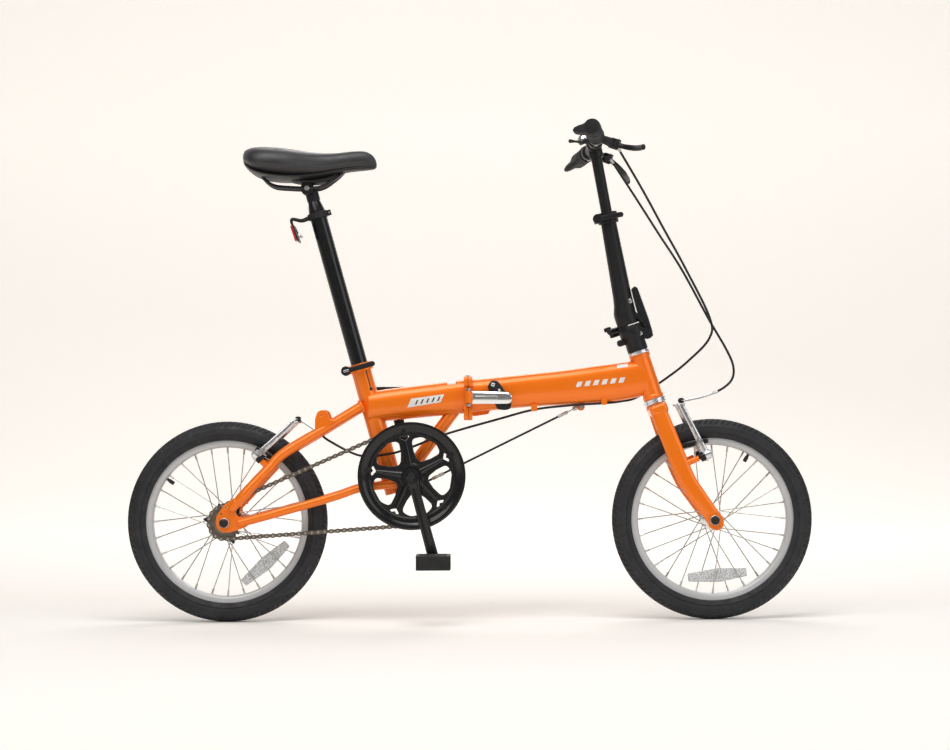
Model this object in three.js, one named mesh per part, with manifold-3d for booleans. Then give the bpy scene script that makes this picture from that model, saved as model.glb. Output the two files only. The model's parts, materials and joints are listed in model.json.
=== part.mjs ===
// A folding city bicycle with 16 inch wheels, built as separate pieces in millimetres.
// +X points to the front, +Y to the rider's left, +Z up. The origin lies on the ground,
// in the bicycle's middle plane, half way between the two wheels.
import * as THREE from "three";
import { mergeVertices } from "three/addons/utils/BufferGeometryUtils.js";
import Module from "manifold-3d";

const wasm = await Module();
wasm.setup();

// ---------- driving dimensions ----------
const GAP = 0.3; // air left between neighbouring pieces
const WHEELBASE = 966.4;
const TYRE_R = 199.5;
const TYRE_SECTION = 47;
const RIM_OUTER_R = 162;
const RIM_INNER_R = 148.5;
const RIM_WIDTH = 24;
const SPOKES = 28;
const AXLE_R = 5;
const DROPOUT_Y = 64; // middle of a rear dropout plate
const DROPOUT_THICK = 6;
const BB_X = -114.3;
const BB_Z = 289.6;
const CRANK = 170;
const CRANK_LEAN = 14.9; // degrees of the right crank forward of straight down
const CRANK_Y = 69; // middle of a crank arm
const CRANK_THICK = 14;
const CHAIN_Y = -46;
const CHAIN_WIDTH = 7.6;
const CHAINRING_PITCH_R = 97.1; // 48 teeth of half inch pitch
const SPROCKET_PITCH_R = 32.6; // 16 teeth
const GUARD_R = 106.7;
const SEAT_TUBE_LEAN = 15.3;
const SEAT_TUBE_R = 20;
const SEATPOST_R = 16.95;
const SEATPOST_INSERT = 212;
const STEER_LEAN = 17.9;
const POST_LEAN = 10.2;
const HINGE_X = -2; // parting plane of the main hinge
const HINGE_Y = 45;
const HINGE_PIN_R = 4;
const BAR_R = 11;
const CABLE_R = 2.4;
const FACETS = 10;

const axleRear = new THREE.Vector3(-WHEELBASE / 2, 0, TYRE_R);
const axleFront = new THREE.Vector3(WHEELBASE / 2, 0, TYRE_R);
const bottomBracket = new THREE.Vector3(BB_X, 0, BB_Z);
const seatTop = new THREE.Vector3(-219, 0, 512);
const headTop = new THREE.Vector3(340.5, 0, 529.1);
const headBottom = new THREE.Vector3(369.2, 0, 440.4);
const postFoot = new THREE.Vector3(320, 0, 587); // centre of the handlepost's hinge plane

const deg = THREE.MathUtils.degToRad;
const v = (x, y, z) => new THREE.Vector3(x, y, z);
const leaning = (degrees) => v(-Math.sin(deg(degrees)), 0, Math.cos(deg(degrees)));
const seatDir = leaning(SEAT_TUBE_LEAN);
const steerDir = leaning(STEER_LEAN);
const postDir = leaning(POST_LEAN);
const along = (start, dir, length) => start.clone().addScaledVector(dir, length);

// ---------- materials ----------
const finish = (color, roughness, metalness) =>
  new THREE.MeshStandardMaterial({ color, roughness, metalness });
const orangePaint = finish(0xf97a12, 0.25, 0.1);
const blackPaint = finish(0x16171a, 0.35, 0.2);
const blackPlastic = finish(0x1c1c1e, 0.5, 0);
const gripRubber = finish(0x232325, 0.8, 0);
const tyreRubber = finish(0x2b2b2d, 0.85, 0);
const silverMetal = finish(0xc9ccd0, 0.3, 1);
const steel = finish(0x9a9a98, 0.35, 1);
const chainSteel = finish(0x7d7468, 0.45, 1);
const saddleVinyl = finish(0x1a1a1c, 0.55, 0);
const redPlastic = finish(0xc21418, 0.3, 0);
const clearPlastic = finish(0xe6eaee, 0.2, 0);

// ---------- solids ----------
function solidOf(geometry) {
  const bare = geometry.clone();
  bare.deleteAttribute("normal");
  bare.deleteAttribute("uv");
  const merged = mergeVertices(bare, 1e-3);
  return new wasm.Manifold(
    new wasm.Mesh({
      numProp: 3,
      vertProperties: merged.attributes.position.array,
      triVerts: new Uint32Array(merged.index.array),
    }),
  );
}

function geometryOf(solid) {
  const mesh = solid.getMesh();
  return new THREE.BufferGeometry()
    .setAttribute("position", new THREE.BufferAttribute(mesh.vertProperties, 3))
    .setIndex(new THREE.BufferAttribute(mesh.triVerts, 1));
}

function join(...geometries) {
  const solids = geometries.map(solidOf);
  return geometryOf(solids.reduce((whole, next) => whole.add(next)));
}

function cut(geometry, ...tools) {
  const body = tools.map(solidOf).reduce((rest, tool) => rest.subtract(tool), solidOf(geometry));
  return geometryOf(body);
}

// A straight round bar from a to b, tapering from radiusA to radiusB.
function rod(a, b, radiusA, radiusB = radiusA, facets = FACETS) {
  const length = a.distanceTo(b);
  const geometry = new THREE.CylinderGeometry(radiusB, radiusA, length, facets);
  const turn = new THREE.Quaternion().setFromUnitVectors(
    v(0, 1, 0),
    b.clone().sub(a).normalize(),
  );
  geometry.applyQuaternion(turn);
  const middle = a.clone().add(b).multiplyScalar(0.5);
  return geometry.translate(middle.x, middle.y, middle.z);
}

// A round bar lying across the bicycle, centred on the point (x, z).
const crossRod = (x, z, y0, y1, radius, facets = FACETS) =>
  rod(v(x, y0, z), v(x, y1, z), radius, radius, facets);

// A ring around the line from a to b.
const ring = (a, b, inner, outer, facets = 16) => {
  const dir = b.clone().sub(a).normalize();
  const bore = rod(along(a, dir, -1), along(b, dir, 1), inner, inner, facets);
  return cut(rod(a, b, outer, outer, facets), bore);
};

function ovalShape(width, height, points = FACETS) {
  const shape = new THREE.Shape();
  for (let i = 0; i < points; i++) {
    const angle = ((i + 0.5) / points) * 2 * Math.PI;
    const x = (width / 2) * Math.cos(angle);
    const y = (height / 2) * Math.sin(angle);
    if (i === 0) shape.moveTo(x, y);
    else shape.lineTo(x, y);
  }
  shape.closePath();
  return shape;
}

// A tube or an oval bar along a smooth curve through the points.
function bent(points, width, height = width, steps = 6, facets = 8) {
  const path = new THREE.CatmullRomCurve3(points, false, "centripetal");
  return new THREE.ExtrudeGeometry(ovalShape(width, height, facets), {
    steps,
    extrudePath: path,
    bevelEnabled: false,
  });
}

// A flat plate whose outline lies in the XZ plane, as [x, z] pairs, between two Y values.
// Each hole is [x, z, radius].
function plate(outline, y0, y1, holes = []) {
  const shape = new THREE.Shape(outline.map(([x, z]) => new THREE.Vector2(x, z)));
  const slab = new THREE.ExtrudeGeometry(shape, { depth: y1 - y0, bevelEnabled: false })
    .rotateX(Math.PI / 2)
    .translate(0, y1, 0);
  const drills = holes.map(([x, z, radius]) => crossRod(x, z, y0 - 1, y1 + 1, radius, 10));
  return drills.length ? cut(slab, ...drills) : slab;
}

// A box given by its centre and sizes, turned about Y by an angle in degrees.
function block(centre, sizeX, sizeY, sizeZ, tilt = 0) {
  return new THREE.BoxGeometry(sizeX, sizeY, sizeZ)
    .rotateY(deg(tilt))
    .translate(centre.x, centre.y, centre.z);
}

// A solid of revolution about the Y axis from [radius, y] pairs that close on themselves.
function turned(profile, segments = 32) {
  const points = profile.map(([radius, y]) => new THREE.Vector2(radius, y));
  return new THREE.LatheGeometry([...points, points[0]], segments);
}

// A solid skinned over rings of equal point counts, with flat fans on both ends.
function loft(rings) {
  const count = rings[0].length;
  const positions = rings.flat().flatMap((p) => [p.x, p.y, p.z]);
  const faces = [];
  for (let r = 0; r + 1 < rings.length; r++)
    for (let i = 0; i < count; i++) {
      const j = (i + 1) % count;
      const a = r * count + i;
      const b = r * count + j;
      faces.push(a, b, b + count, a, b + count, a + count);
    }
  const last = (rings.length - 1) * count;
  for (let i = 1; i + 1 < count; i++) {
    faces.push(0, i + 1, i);
    faces.push(last, last + i, last + i + 1);
  }
  const geometry = new THREE.BufferGeometry();
  geometry.setAttribute("position", new THREE.Float32BufferAttribute(positions, 3));
  geometry.setIndex(faces);
  return solidOf(geometry).volume() < 0 ? flipped(geometry) : geometry;
}

function flipped(geometry) {
  const index = Array.from(geometry.index.array);
  for (let i = 0; i < index.length; i += 3) [index[i + 1], index[i + 2]] = [index[i + 2], index[i + 1]];
  return geometry.setIndex(index);
}

const bicycle = new THREE.Group();

function piece(name, geometry, material, group = bicycle) {
  const mesh = new THREE.Mesh(geometry, material);
  mesh.name = name;
  group.add(mesh);
  return mesh;
}

function groupAt(position, parent = bicycle) {
  const group = new THREE.Group();
  group.position.copy(position);
  parent.add(group);
  return group;
}

// ---------- rear frame ----------
function rearFrame() {
  const seatBottom = along(seatTop, seatDir, -267);
  const tubeStart = v(-192, 0, 427);
  const tubeEnd = v(HINGE_X - 5, 0, 446);
  const mainTube = loft([ovalRing(tubeStart, 50, 66), ovalRing(tubeEnd, 50, 68)]);
  const hingePlate = block(v(HINGE_X - 4.5, 0, 442.5), 8, 64, 88);
  const hingeEars = [470, 415].map((z) => block(v(HINGE_X - 5, HINGE_Y - 8, z), 9, 24, 20));
  const shell = crossRod(BB_X, BB_Z, -34, 34, SEAT_TUBE_R, 12);
  const strut = rod(v(-38, 0, 407), v(-122, 0, 296), 12.5);
  const bridge = block(v(-138, 0, 282), 30, 40, 16);
  const sides = [-1, 1].flatMap((side) => [
    bent(seatStayPath(side), 20, 20, 10),
    bent(chainStayPath(side), 17, 17, 9),
    dropout(side),
    rackTab(side),
    rod(v(-396, side * 48, 308), v(-411, side * 48, 323), 6, 6, 8),
  ]);
  const stayBridge = rod(v(-246, -28, 410), v(-246, 28, 410), 7, 7, 8);
  const solid = join(
    rod(seatBottom, seatTop, SEAT_TUBE_R, SEAT_TUBE_R, 16),
    mainTube,
    hingePlate,
    ...hingeEars,
    shell,
    strut,
    bridge,
    stayBridge,
    ...sides,
  );
  return cut(
    solid,
    rod(along(seatBottom, seatDir, -2), along(seatTop, seatDir, 2), SEATPOST_R + 0.4, SEATPOST_R + 0.4, 16),
    crossRod(BB_X, BB_Z, -40, 40, 8.8),
    rod(v(HINGE_X, HINGE_Y, 390), v(HINGE_X, HINGE_Y, 500), HINGE_PIN_R + 0.9, HINGE_PIN_R + 0.9, 8),
  );
}

// An oval section of a main tube, upright in the YZ plane.
function ovalRing(centre, width, height, points = 14) {
  return Array.from({ length: points }, (_, i) => {
    const angle = ((i + 0.5) / points) * 2 * Math.PI;
    return v(centre.x, (width / 2) * Math.cos(angle), centre.z + (height / 2) * Math.sin(angle));
  });
}

const seatStayPath = (side) => [
  v(-470, side * 66, 226),
  v(-440, side * 66, 259),
  v(-418, side * 60, 283),
  v(-396, side * 49, 306),
  v(-367, side * 42, 336),
  v(-214, side * 22, 428),
];

const chainStayPath = (side) => [
  v(-452, side * 64, 200),
  v(-400, side * 58, 213),
  v(-300, side * 38, 240),
  v(-259, side * 29, 252),
  v(-215, side * 27, 266),
  v(-140, side * 25, 274),
];

// The plate that holds the rear axle, with a round cut-out in front of it.
function dropout(side) {
  const outline = [
    [-499, 203], [-498, 191], [-491, 184], [-480, 182], [-455, 187], [-444, 193],
    [-440, 206], [-452, 209], [-461, 216], [-462, 226], [-458, 236], [-468, 242],
    [-484, 226], [-496, 214],
  ];
  const y = side * DROPOUT_Y;
  const half = DROPOUT_THICK / 2;
  return plate(outline, y - half, y + half, [[axleRear.x, axleRear.z, AXLE_R + GAP]]);
}

// A rounded eye on top of a seat stay for a luggage rack's leg.
function rackTab(side) {
  const outline = [
    [-305, 372], [-305, 405], [-301, 416], [-293, 421], [-284, 418], [-279, 408], [-270, 392],
  ];
  const inner = side > 0 ? 30 : -48.5;
  return plate(outline, inner, inner + 18.5, [[-292, 412, 2.6]]);
}

piece("rear_frame", rearFrame(), orangePaint);
const hingePinEnds = [v(HINGE_X, HINGE_Y, 398), v(HINGE_X, HINGE_Y, 487)];
piece("frame_hinge_pin", rod(...hingePinEnds, HINGE_PIN_R, HINGE_PIN_R, 8), silverMetal);

// ---------- front frame ----------
const frontTubeLine = [
  [HINGE_X + 5, 446, 66], [62, 452.9, 66], [122, 458.2, 66.6], [192, 463.5, 70],
  [262, 468.9, 77], [322, 477.4, 74], [352, 482, 72],
];

function frontFrame() {
  const tube = loft(frontTubeLine.map(([x, z, height], i) =>
    ovalRing(v(x, 0, z), i < 4 ? 50 : 50 - 6 * (i - 3), height)));
  const plateFront = block(v(HINGE_X + 4.5, 0, 442.5), 8, 64, 88);
  const ear = block(v(HINGE_X + 1, HINGE_Y, 442.5), 14, 14, 34);
  const earWeb = block(v(HINGE_X + 4.5, 34, 442.5), 8, 14, 34);
  const gusset = plate([[4, 425], [4, 400], [46, 412], [46, 424]], -3, 3);
  const head = rod(headBottom, headTop, 19.5, 19.5, 16);
  const solid = join(tube, plateFront, ear, earWeb, gusset, head);
  return cut(
    solid,
    rod(along(headBottom, steerDir, -5), along(headTop, steerDir, 5), 15, 15, 16),
    rod(v(HINGE_X, HINGE_Y, 390), v(HINGE_X, HINGE_Y, 500), HINGE_PIN_R + 0.9, HINGE_PIN_R + 0.9, 8),
  );
}

piece("front_frame", frontFrame(), orangePaint);
const cup = (start, length) => ring(start, along(start, steerDir, length), 15, 23, 16);
piece("headset_upper", cup(along(headTop, steerDir, GAP), 9), silverMetal);
piece("headset_lower", cup(along(headBottom, steerDir, -GAP - 10), 10), silverMetal);

// ---------- main hinge latch ----------
const latchLeverPivot = v(HINGE_X + 1, -41, 442);

function frameLatchLever() {
  const { x, y } = latchLeverPivot;
  const barrel = rod(v(x, y, 428), v(x, y, 458), 6);
  const outline = [[4, 431.5], [4, 456.5], [60, 455], [80, 452], [84.5, 442], [82, 433], [76, 431.5]];
  return join(barrel, plate(outline, -43, -37));
}

// The catch sits between the tube's wall and the lever, with both of its ends showing past the lever.
function frameLatchCatch() {
  const oval = [
    [37, 467], [43, 476], [55, 477], [64, 467], [74, 450], [83, 432],
    [82, 424], [74, 420], [62, 420], [53, 428], [45, 446], [37, 459],
  ];
  return plate(oval, -35.5, -27.5);
}
piece("frame_latch_lever", frameLatchLever(), silverMetal);
piece("frame_latch_catch", frameLatchCatch(), blackPlastic);

// ---------- fork and handlepost base ----------
// The handlepost's hinge line runs diagonally, behind and to the left of the post.
const steerForward = v(Math.cos(deg(STEER_LEAN)), 0, Math.sin(deg(STEER_LEAN)));
const handleHingeDir = steerForward.clone().add(v(0, 1, 0)).normalize();
const handleHingeOut = steerForward.clone().negate().add(v(0, 1, 0)).normalize();
const handleHinge = along(along(postFoot, handleHingeOut, 31), steerDir, -1);
const handleHingeEar = 21.5; // middle of a hinge ear along the hinge line

const forkBladePath = (side) => [
  v(374, side * 29, 420),
  v(393, side * 39, 370),
  v(412, side * 46, 320.5),
  v(431.7, side * 50, 275.6),
  v(455.3, side * 53, 240.5),
  v(477.5, side * 54, 208.5),
  v(488, side * 54, 190),
];

function fork() {
  const crownTop = along(headBottom, steerDir, -11.5);
  const crown = block(along(crownTop, steerDir, -12), 38, 78, 22, -STEER_LEAN);
  const steerer = rod(along(crownTop, steerDir, -6), along(headTop, steerDir, 9.6), 14.5, 14.5, 16);
  const blades = [-1, 1].map((side) => bent(forkBladePath(side), 13, 31, 8, 8));
  const studs = [-1, 1].map((side) => rod(v(426, side * 48, 310), v(458, side * 48, 323.5), 6, 6, 8));
  const solid = join(crown, steerer, ...blades, ...studs);
  return cut(solid, crossRod(axleFront.x, axleFront.z, -70, 70, AXLE_R + GAP, 10));
}

piece("fork", fork(), orangePaint);

const baseTop = along(postFoot, steerDir, -1);
const hingePinBore = (radius, half) => {
  const start = along(handleHinge, handleHingeDir, -half);
  return rod(start, along(start, handleHingeDir, 2 * half), radius, radius, 10);
};
const latchPivot = v(361, 0, 568);

function handlepostBase() {
  const foot = along(headTop, steerDir, 10.4);
  const hingeBack = along(baseTop, steerDir, -22);
  const lugOutline = [[338, 562], [364, 560], [368, 568], [362, 576], [342, 582]];
  const hole = [[latchPivot.x, latchPivot.z, 4.4]];
  const lugs = [plate(lugOutline, 13, 18, hole), plate(lugOutline, -18, -13, hole)];
  const solid = join(
    rod(foot, along(foot, steerDir, 22), 22, 22, 12),
    rod(along(foot, steerDir, 20), hingeBack, 19, 22, 12),
    rod(hingeBack, baseTop, 26, 26, 12),
    hingePinBore(7, 12),
    ...lugs,
  );
  return cut(solid, hingePinBore(3.3, 20));
}

piece("handlepost_base", handlepostBase(), blackPaint);
piece("handlepost_hinge_pin", hingePinBore(3, 27), silverMetal);

function handlepostLatchLever() {
  const outline = [
    [356, 562], [366, 563], [371, 574], [341, 667], [334, 671], [329, 664], [352, 596], [355, 578],
  ];
  return join(plate(outline, -12, 12), crossRod(latchPivot.x, latchPivot.z, -18.6, 18.6, 4, 8));
}

piece("handlepost_latch_lever", handlepostLatchLever(), blackPaint);

// ---------- handlepost ----------
const postStart = along(v(313, 0, 615), postDir, -8);
const postTop = along(v(313, 0, 615), postDir, 199);
const tubeFoot = along(v(313, 0, 615), postDir, 96);

function handlepost() {
  const hingeFace = along(postFoot, steerDir, 1);
  const ears = [-1, 1].flatMap((side) => {
    const ear = along(handleHinge, handleHingeDir, side * handleHingeEar);
    const arm = along(along(ear, steerDir, 6), handleHingeOut, -2);
    return [
      rod(along(ear, handleHingeDir, -4.5), along(ear, handleHingeDir, 4.5), 7, 7, 10),
      rod(arm, along(along(arm, handleHingeOut, -18), steerDir, 3), 4.2, 6, 8),
    ];
  });
  const solid = join(
    rod(hingeFace, along(hingeFace, steerDir, 20), 26, 25, 12),
    rod(along(hingeFace, steerDir, 12), along(v(313, 0, 615), postDir, 50), 22, 18.5, 12),
    rod(postStart, along(v(313, 0, 615), postDir, 50), 19, 18.5, 12),
    rod(along(v(313, 0, 615), postDir, 49), postTop, 18.5, 15, 12),
    ...ears,
  );
  const boreRadius = BAR_R + 0.5;
  const bore = rod(along(tubeFoot, postDir, -104), along(postTop, postDir, 2), boreRadius, boreRadius, 12);
  return cut(solid, bore, hingePinBore(7.5, 16.6), hingePinBore(3.3, 30));
}

piece("handlepost", handlepost(), blackPaint);
const postCollarFoot = along(postTop, postDir, -20);
const postCollar = ring(postCollarFoot, along(postTop, postDir, 2), 15.9, 20.5);
piece("handlepost_collar", postCollar, blackPaint);

// A quick-release lever beside a clamp collar: its pin stands at the back of the collar
// and the blade reaches forward along the bicycle's right side.
function clampLever(pivot, dir, length) {
  const forward = v(dir.z, 0, -dir.x);
  const pin = rod(along(pivot, dir, -7), along(pivot, dir, 7), 4.5, 4.5, 8);
  const tip = along(along(pivot, forward, length), v(0, -1, 0), 3);
  const start = along(pivot, forward, 2);
  const section = (p, width, height) =>
    [[-1, -1], [1, -1], [1, 1], [-1, 1]].map(([a, b]) =>
      along(along(p, v(0, 1, 0), (a * width) / 2), dir, (b * height) / 2));
  return join(pin, loft([section(start, 5, 9), section(tip, 5, 14)]));
}

const postCollarMiddle = along(postTop, postDir, -9);
const postLeverPivot = along(along(postCollarMiddle, v(postDir.z, 0, -postDir.x), -22), v(0, -1, 0), 27);
piece("handlepost_clamp_lever", clampLever(postLeverPivot, postDir, 52), blackPaint);

// ---------- handlebar ----------
const barCentre = along(v(313, 0, 615), postDir, 339.3);
const barPath = (y0, y1, steps) =>
  Array.from({ length: steps + 1 }, (_, i) => {
    const y = y0 + ((y1 - y0) * i) / steps;
    const sweep = Math.max(0, Math.abs(y) - 80);
    return v(barCentre.x - 19 * (sweep / 198) ** 1.2, y, barCentre.z);
  });

function handlebar() {
  const tubeTop = along(barCentre, postDir, -2);
  return join(bent(barPath(-278, 278, 12), 22, 22, 12, 10), rod(tubeFoot, tubeTop, BAR_R, BAR_R, 12));
}

function grip(side) {
  const tube = bent(barPath(side * 152, side * 281, 3), 33, 33, 4, 10);
  const drop = side > 0 ? 34 : 8;
  const lower = (x) => barCentre.z - (235 - x) * Math.tan(deg(drop));
  const wing = plate([[236, 941], [236, 957], [222, lower(222) + 7], [200, lower(200) + 4],
    [197, lower(197)], [202, lower(202) - 6], [222, lower(222) - 7]],
    side > 0 ? 200 : -280, side > 0 ? 280 : -200);
  const bore = bent(barPath(side * 148, side * 279, 3), 23.6, 23.6, 4, 10);
  return cut(join(tube, wing), bore);
}

function brakePerch(side) {
  const clamp = rod(v(251.5, side * 116, barCentre.z), v(250, side * 134, barCentre.z), 16, 16, 12);
  const bodyLine = [v(258, side * 124, 946), v(272, side * 121, 942), v(281, side * 120, 938.6)];
  const body = bent(bodyLine, 13, 15, 4, 8);
  const bore = bent(barPath(side * 100, side * 150, 2), 23.6, 23.6, 4, 10);
  return cut(join(clamp, body), bore);
}

const leverPivot = (side) => v(289.5, side * 120, 934.8);
const leverUp = v(0.436, 0, 0.9).normalize();

function brakeLever(side) {
  const pivot = leverPivot(side);
  const droop = side > 0 ? 22 : 0; // the left lever hangs lower than the right one
  const barrel = rod(along(pivot, leverUp, -8), along(pivot, leverUp, 8), 6.5, 6.5, 10);
  const bladeLine = [
    pivot, v(306, side * 128, 929 - 0.3 * droop), v(322, side * 150, 924 - 0.7 * droop),
    v(330, side * 178, 921 - 0.9 * droop), v(336, side * 205, 919 - droop),
  ];
  const blade = bent(bladeLine, 8, 13, 10, 8);
  return join(barrel, blade);
}

function bell() {
  const onBar = (y) => v(barCentre.x, y, barCentre.z);
  const clamp = rod(onBar(-67), onBar(-57), 14.8, 14.8, 12);
  const dome = rod(v(229, -62, 951), v(217, -62, 956), 12, 7, 14);
  const stem = rod(v(242, -62, 949), v(227, -62, 951.5), 6, 6, 8);
  return cut(join(clamp, dome, stem), rod(onBar(-70), onBar(-54), 11.9, 11.9, 12));
}

piece("handlebar", handlebar(), blackPaint);
piece("bell", bell(), silverMetal);
piece("bell_striker", rod(v(226, -78, 944), v(200, -78, 946), 2.6, 3.2, 8), blackPlastic);
for (const [name, side] of [["left", 1], ["right", -1]]) {
  piece("grip_" + name, grip(side), gripRubber);
  piece("brake_perch_" + name, brakePerch(side), blackPlastic);
  piece("brake_lever_" + name, brakeLever(side), blackPaint);
}

// ---------- brakes ----------
// A linear-pull arm on a frame stud, with its shoe beside the rim.
function brakeArm(side, pivot, axis, top, axle) {
  const reach = top.clone().sub(pivot);
  const out = (p, y) => v(p.x, side * y, p.z);
  const shoe = shoePoint(pivot, reach, axle);
  const radiusAngle = Math.atan2(shoe.z - axle.z, shoe.x - axle.x);
  const tilt = 90 - THREE.MathUtils.radToDeg(radiusAngle);
  const boss = out(pivot, 48);
  return join(
    rod(along(boss, axis, -5), along(boss, axis, 6), 8, 8, 10),
    bent([boss, out(along(pivot, reach, 0.5), 51), out(top, 47)], 9, 13, 6, 8),
    rod(out(shoe, 21), out(along(pivot, reach, shoeShare(pivot, reach, axle)), 49), 4, 4, 8),
    block(out(shoe, 19), 52, 8, 8, tilt),
  );
}

// How far along the arm the shoe sits, so that it meets the rim's braking track.
function shoeShare(pivot, reach, axle) {
  const track = 154.4;
  let share = 0;
  while (share < 0.5 && along(pivot, reach, share).distanceTo(axle) < track) share += 0.005;
  return share;
}

const shoePoint = (pivot, reach, axle) => along(pivot, reach, shoeShare(pivot, reach, axle));

const frontStud = { pivot: v(464.5, 0, 326.2), axis: v(32, 0, 13.5).normalize(), top: v(418.5, 0, 431) };
const rearStud = { pivot: v(-416.2, 0, 328.2), axis: v(-1, 0, 1).normalize(), top: v(-346, 0, 401) };
for (const [name, side] of [["left", 1], ["right", -1]]) {
  const front = brakeArm(side, frontStud.pivot, frontStud.axis, frontStud.top, axleFront);
  const rear = brakeArm(side, rearStud.pivot, rearStud.axis, rearStud.top, axleRear);
  piece("front_brake_arm_" + name, front, silverMetal);
  piece("rear_brake_arm_" + name, rear, silverMetal);
}

// ---------- cables ----------
const frontCable = [
  v(294, 104, 930), v(342, 85, 851), v(430, 32, 700), v(482, 24, 601), v(516, 18, 540),
  v(530, 14, 505), v(527, 12, 478), v(505, 12, 458), v(470, 22, 444), v(432, 34, 436),
];
const rearCable = [
  v(294, -104, 930), v(342, -85, 851), v(430, -34, 700), v(479, -26, 601), v(478, -27, 559),
  v(440, 4, 516), v(400, 34, 483), v(335, 38, 443), v(269, 14, 429), v(201, -6, 424),
  v(129.5, -14, 418.5), v(62, -14, 400), v(-49, -18, 371), v(-118, -24, 345), v(-160, -27, 333),
  v(-217, -27, 330), v(-280, -14, 360), v(-300, -6, 377), v(-338, 10, 401),
];
const cable = (points, steps) => bent(points, 2 * CABLE_R, 2 * CABLE_R, steps, 4);
piece("front_brake_cable", cable(frontCable, 22), blackPlastic);
piece("rear_brake_cable", cable(rearCable, 36), blackPlastic);

function tensionCable() {
  const front = v(201, 0, 416.5);
  const back = v(-86, 0, 276.5);
  const dir = back.clone().sub(front).normalize();
  const length = front.distanceTo(back);
  const barrel = rod(along(front, dir, length - 70), along(front, dir, length - 28), 6, 6, 8);
  return join(rod(front, back, 2.2, 2.2, 6), barrel);
}

piece("tension_cable", tensionCable(), blackPlastic);

// ---------- wheels ----------
function hubWithSpokes(halfRight, halfLeft) {
  const flange = 28;
  const hub = turned([
    [AXLE_R + GAP, -halfRight], [11, -halfRight], [11, -flange - 4], [22, -flange - 2], [22, -flange + 2],
    [13, -flange + 5], [13, flange - 5], [22, flange - 2], [22, flange + 2], [11, flange + 4],
    [11, halfLeft], [AXLE_R + GAP, halfLeft],
  ], 16);
  const spokes = Array.from({ length: SPOKES }, (_, i) => {
    const side = i % 2 === 0 ? 1 : -1;
    const rimAngle = (i / SPOKES) * 2 * Math.PI;
    const hubAngle = rimAngle + side * deg(45);
    return rod(
      v(20 * Math.cos(hubAngle), side * flange, 20 * Math.sin(hubAngle)),
      v(146.6 * Math.cos(rimAngle), side * 4, 146.6 * Math.sin(rimAngle)),
      1, 1, 3,
    );
  });
  return join(hub, ...spokes);
}

function rim() {
  const half = RIM_WIDTH / 2;
  return turned([
    [RIM_INNER_R, -4], [RIM_INNER_R + 3, -half], [RIM_OUTER_R, -half],
    [RIM_OUTER_R, half], [RIM_INNER_R + 3, half], [RIM_INNER_R, 4],
  ]);
}

function tyre() {
  const half = TYRE_SECTION / 2;
  const middle = TYRE_R - half;
  const arc = Array.from({ length: 7 }, (_, i) => {
    const angle = deg(-114 + i * 38);
    return [middle + half * Math.cos(angle), half * Math.sin(angle)];
  });
  return turned([[RIM_OUTER_R + 0.6, -13], ...arc, [RIM_OUTER_R + 0.6, 13]]);
}

// A bowed safety reflector held between the two rows of spokes.
function wheelReflector(angle) {
  const outer = [];
  const inner = [];
  for (let i = -3; i <= 3; i++) {
    const a = deg(angle + i * 8);
    outer.push([124 * Math.cos(a), 124 * Math.sin(a)]);
    inner.unshift([104 * Math.cos(a), 104 * Math.sin(a)]);
  }
  return plate([...outer, ...inner], -2.5, 2.5);
}

function wheel(name, axle, halfRight, halfLeft, reflectorAngle, axleHalf) {
  const group = groupAt(axle);
  piece(name + "_hub", hubWithSpokes(halfRight, halfLeft), silverMetal, group);
  piece(name + "_rim", rim(), silverMetal, group);
  piece(name + "_tyre", tyre(), tyreRubber, group);
  piece(name + "_reflector", wheelReflector(reflectorAngle), clearPlastic, group);
  const nutFrom = axleHalf + GAP;
  const nutTo = nutFrom + 12;
  const axlePiece = join(
    crossRod(0, 0, -nutTo, nutTo, AXLE_R, 10),
    crossRod(0, 0, nutFrom, nutTo - 2, 9, 10),
    crossRod(0, 0, -nutTo + 2, -nutFrom, 9, 10),
  );
  piece(name + "_axle", axlePiece, steel, group);
}

wheel("rear_wheel", axleRear, 37, 59, -48.2, DROPOUT_Y + DROPOUT_THICK / 2);
wheel("front_wheel", axleFront, 46, 46, -84.8, 61.5);

// ---------- drive ----------
function chainOutline(extra) {
  const centreSlope = Math.atan2(BB_Z - axleRear.z, BB_X - axleRear.x);
  const reach = Math.hypot(BB_Z - axleRear.z, BB_X - axleRear.x);
  const spread = Math.asin((CHAINRING_PITCH_R - SPROCKET_PITCH_R) / reach);
  const upper = Math.PI / 2 + centreSlope + spread;
  const lower = centreSlope - spread - Math.PI / 2;
  const arc = (centre, radius, from, to, steps) =>
    Array.from({ length: steps + 1 }, (_, i) => {
      const angle = from + ((to - from) * i) / steps;
      return [centre.x + radius * Math.cos(angle), centre.z + radius * Math.sin(angle)];
    });
  return [
    ...arc(bottomBracket, CHAINRING_PITCH_R + extra, lower, upper, 20),
    ...arc(axleRear, SPROCKET_PITCH_R + extra, upper, lower + 2 * Math.PI, 14),
  ];
}

const chainRight = CHAIN_Y - CHAIN_WIDTH / 2;
const chainLeft = CHAIN_Y + CHAIN_WIDTH / 2;
const chain = cut(
  plate(chainOutline(5), chainRight, chainLeft),
  plate(chainOutline(1), chainRight - 1, chainLeft + 1),
);
piece("chain", chain, chainSteel);

const drive = groupAt(bottomBracket);
piece("crank_axle", crossRod(0, 0, -61.5, 61.5, 8), steel, drive);

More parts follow.
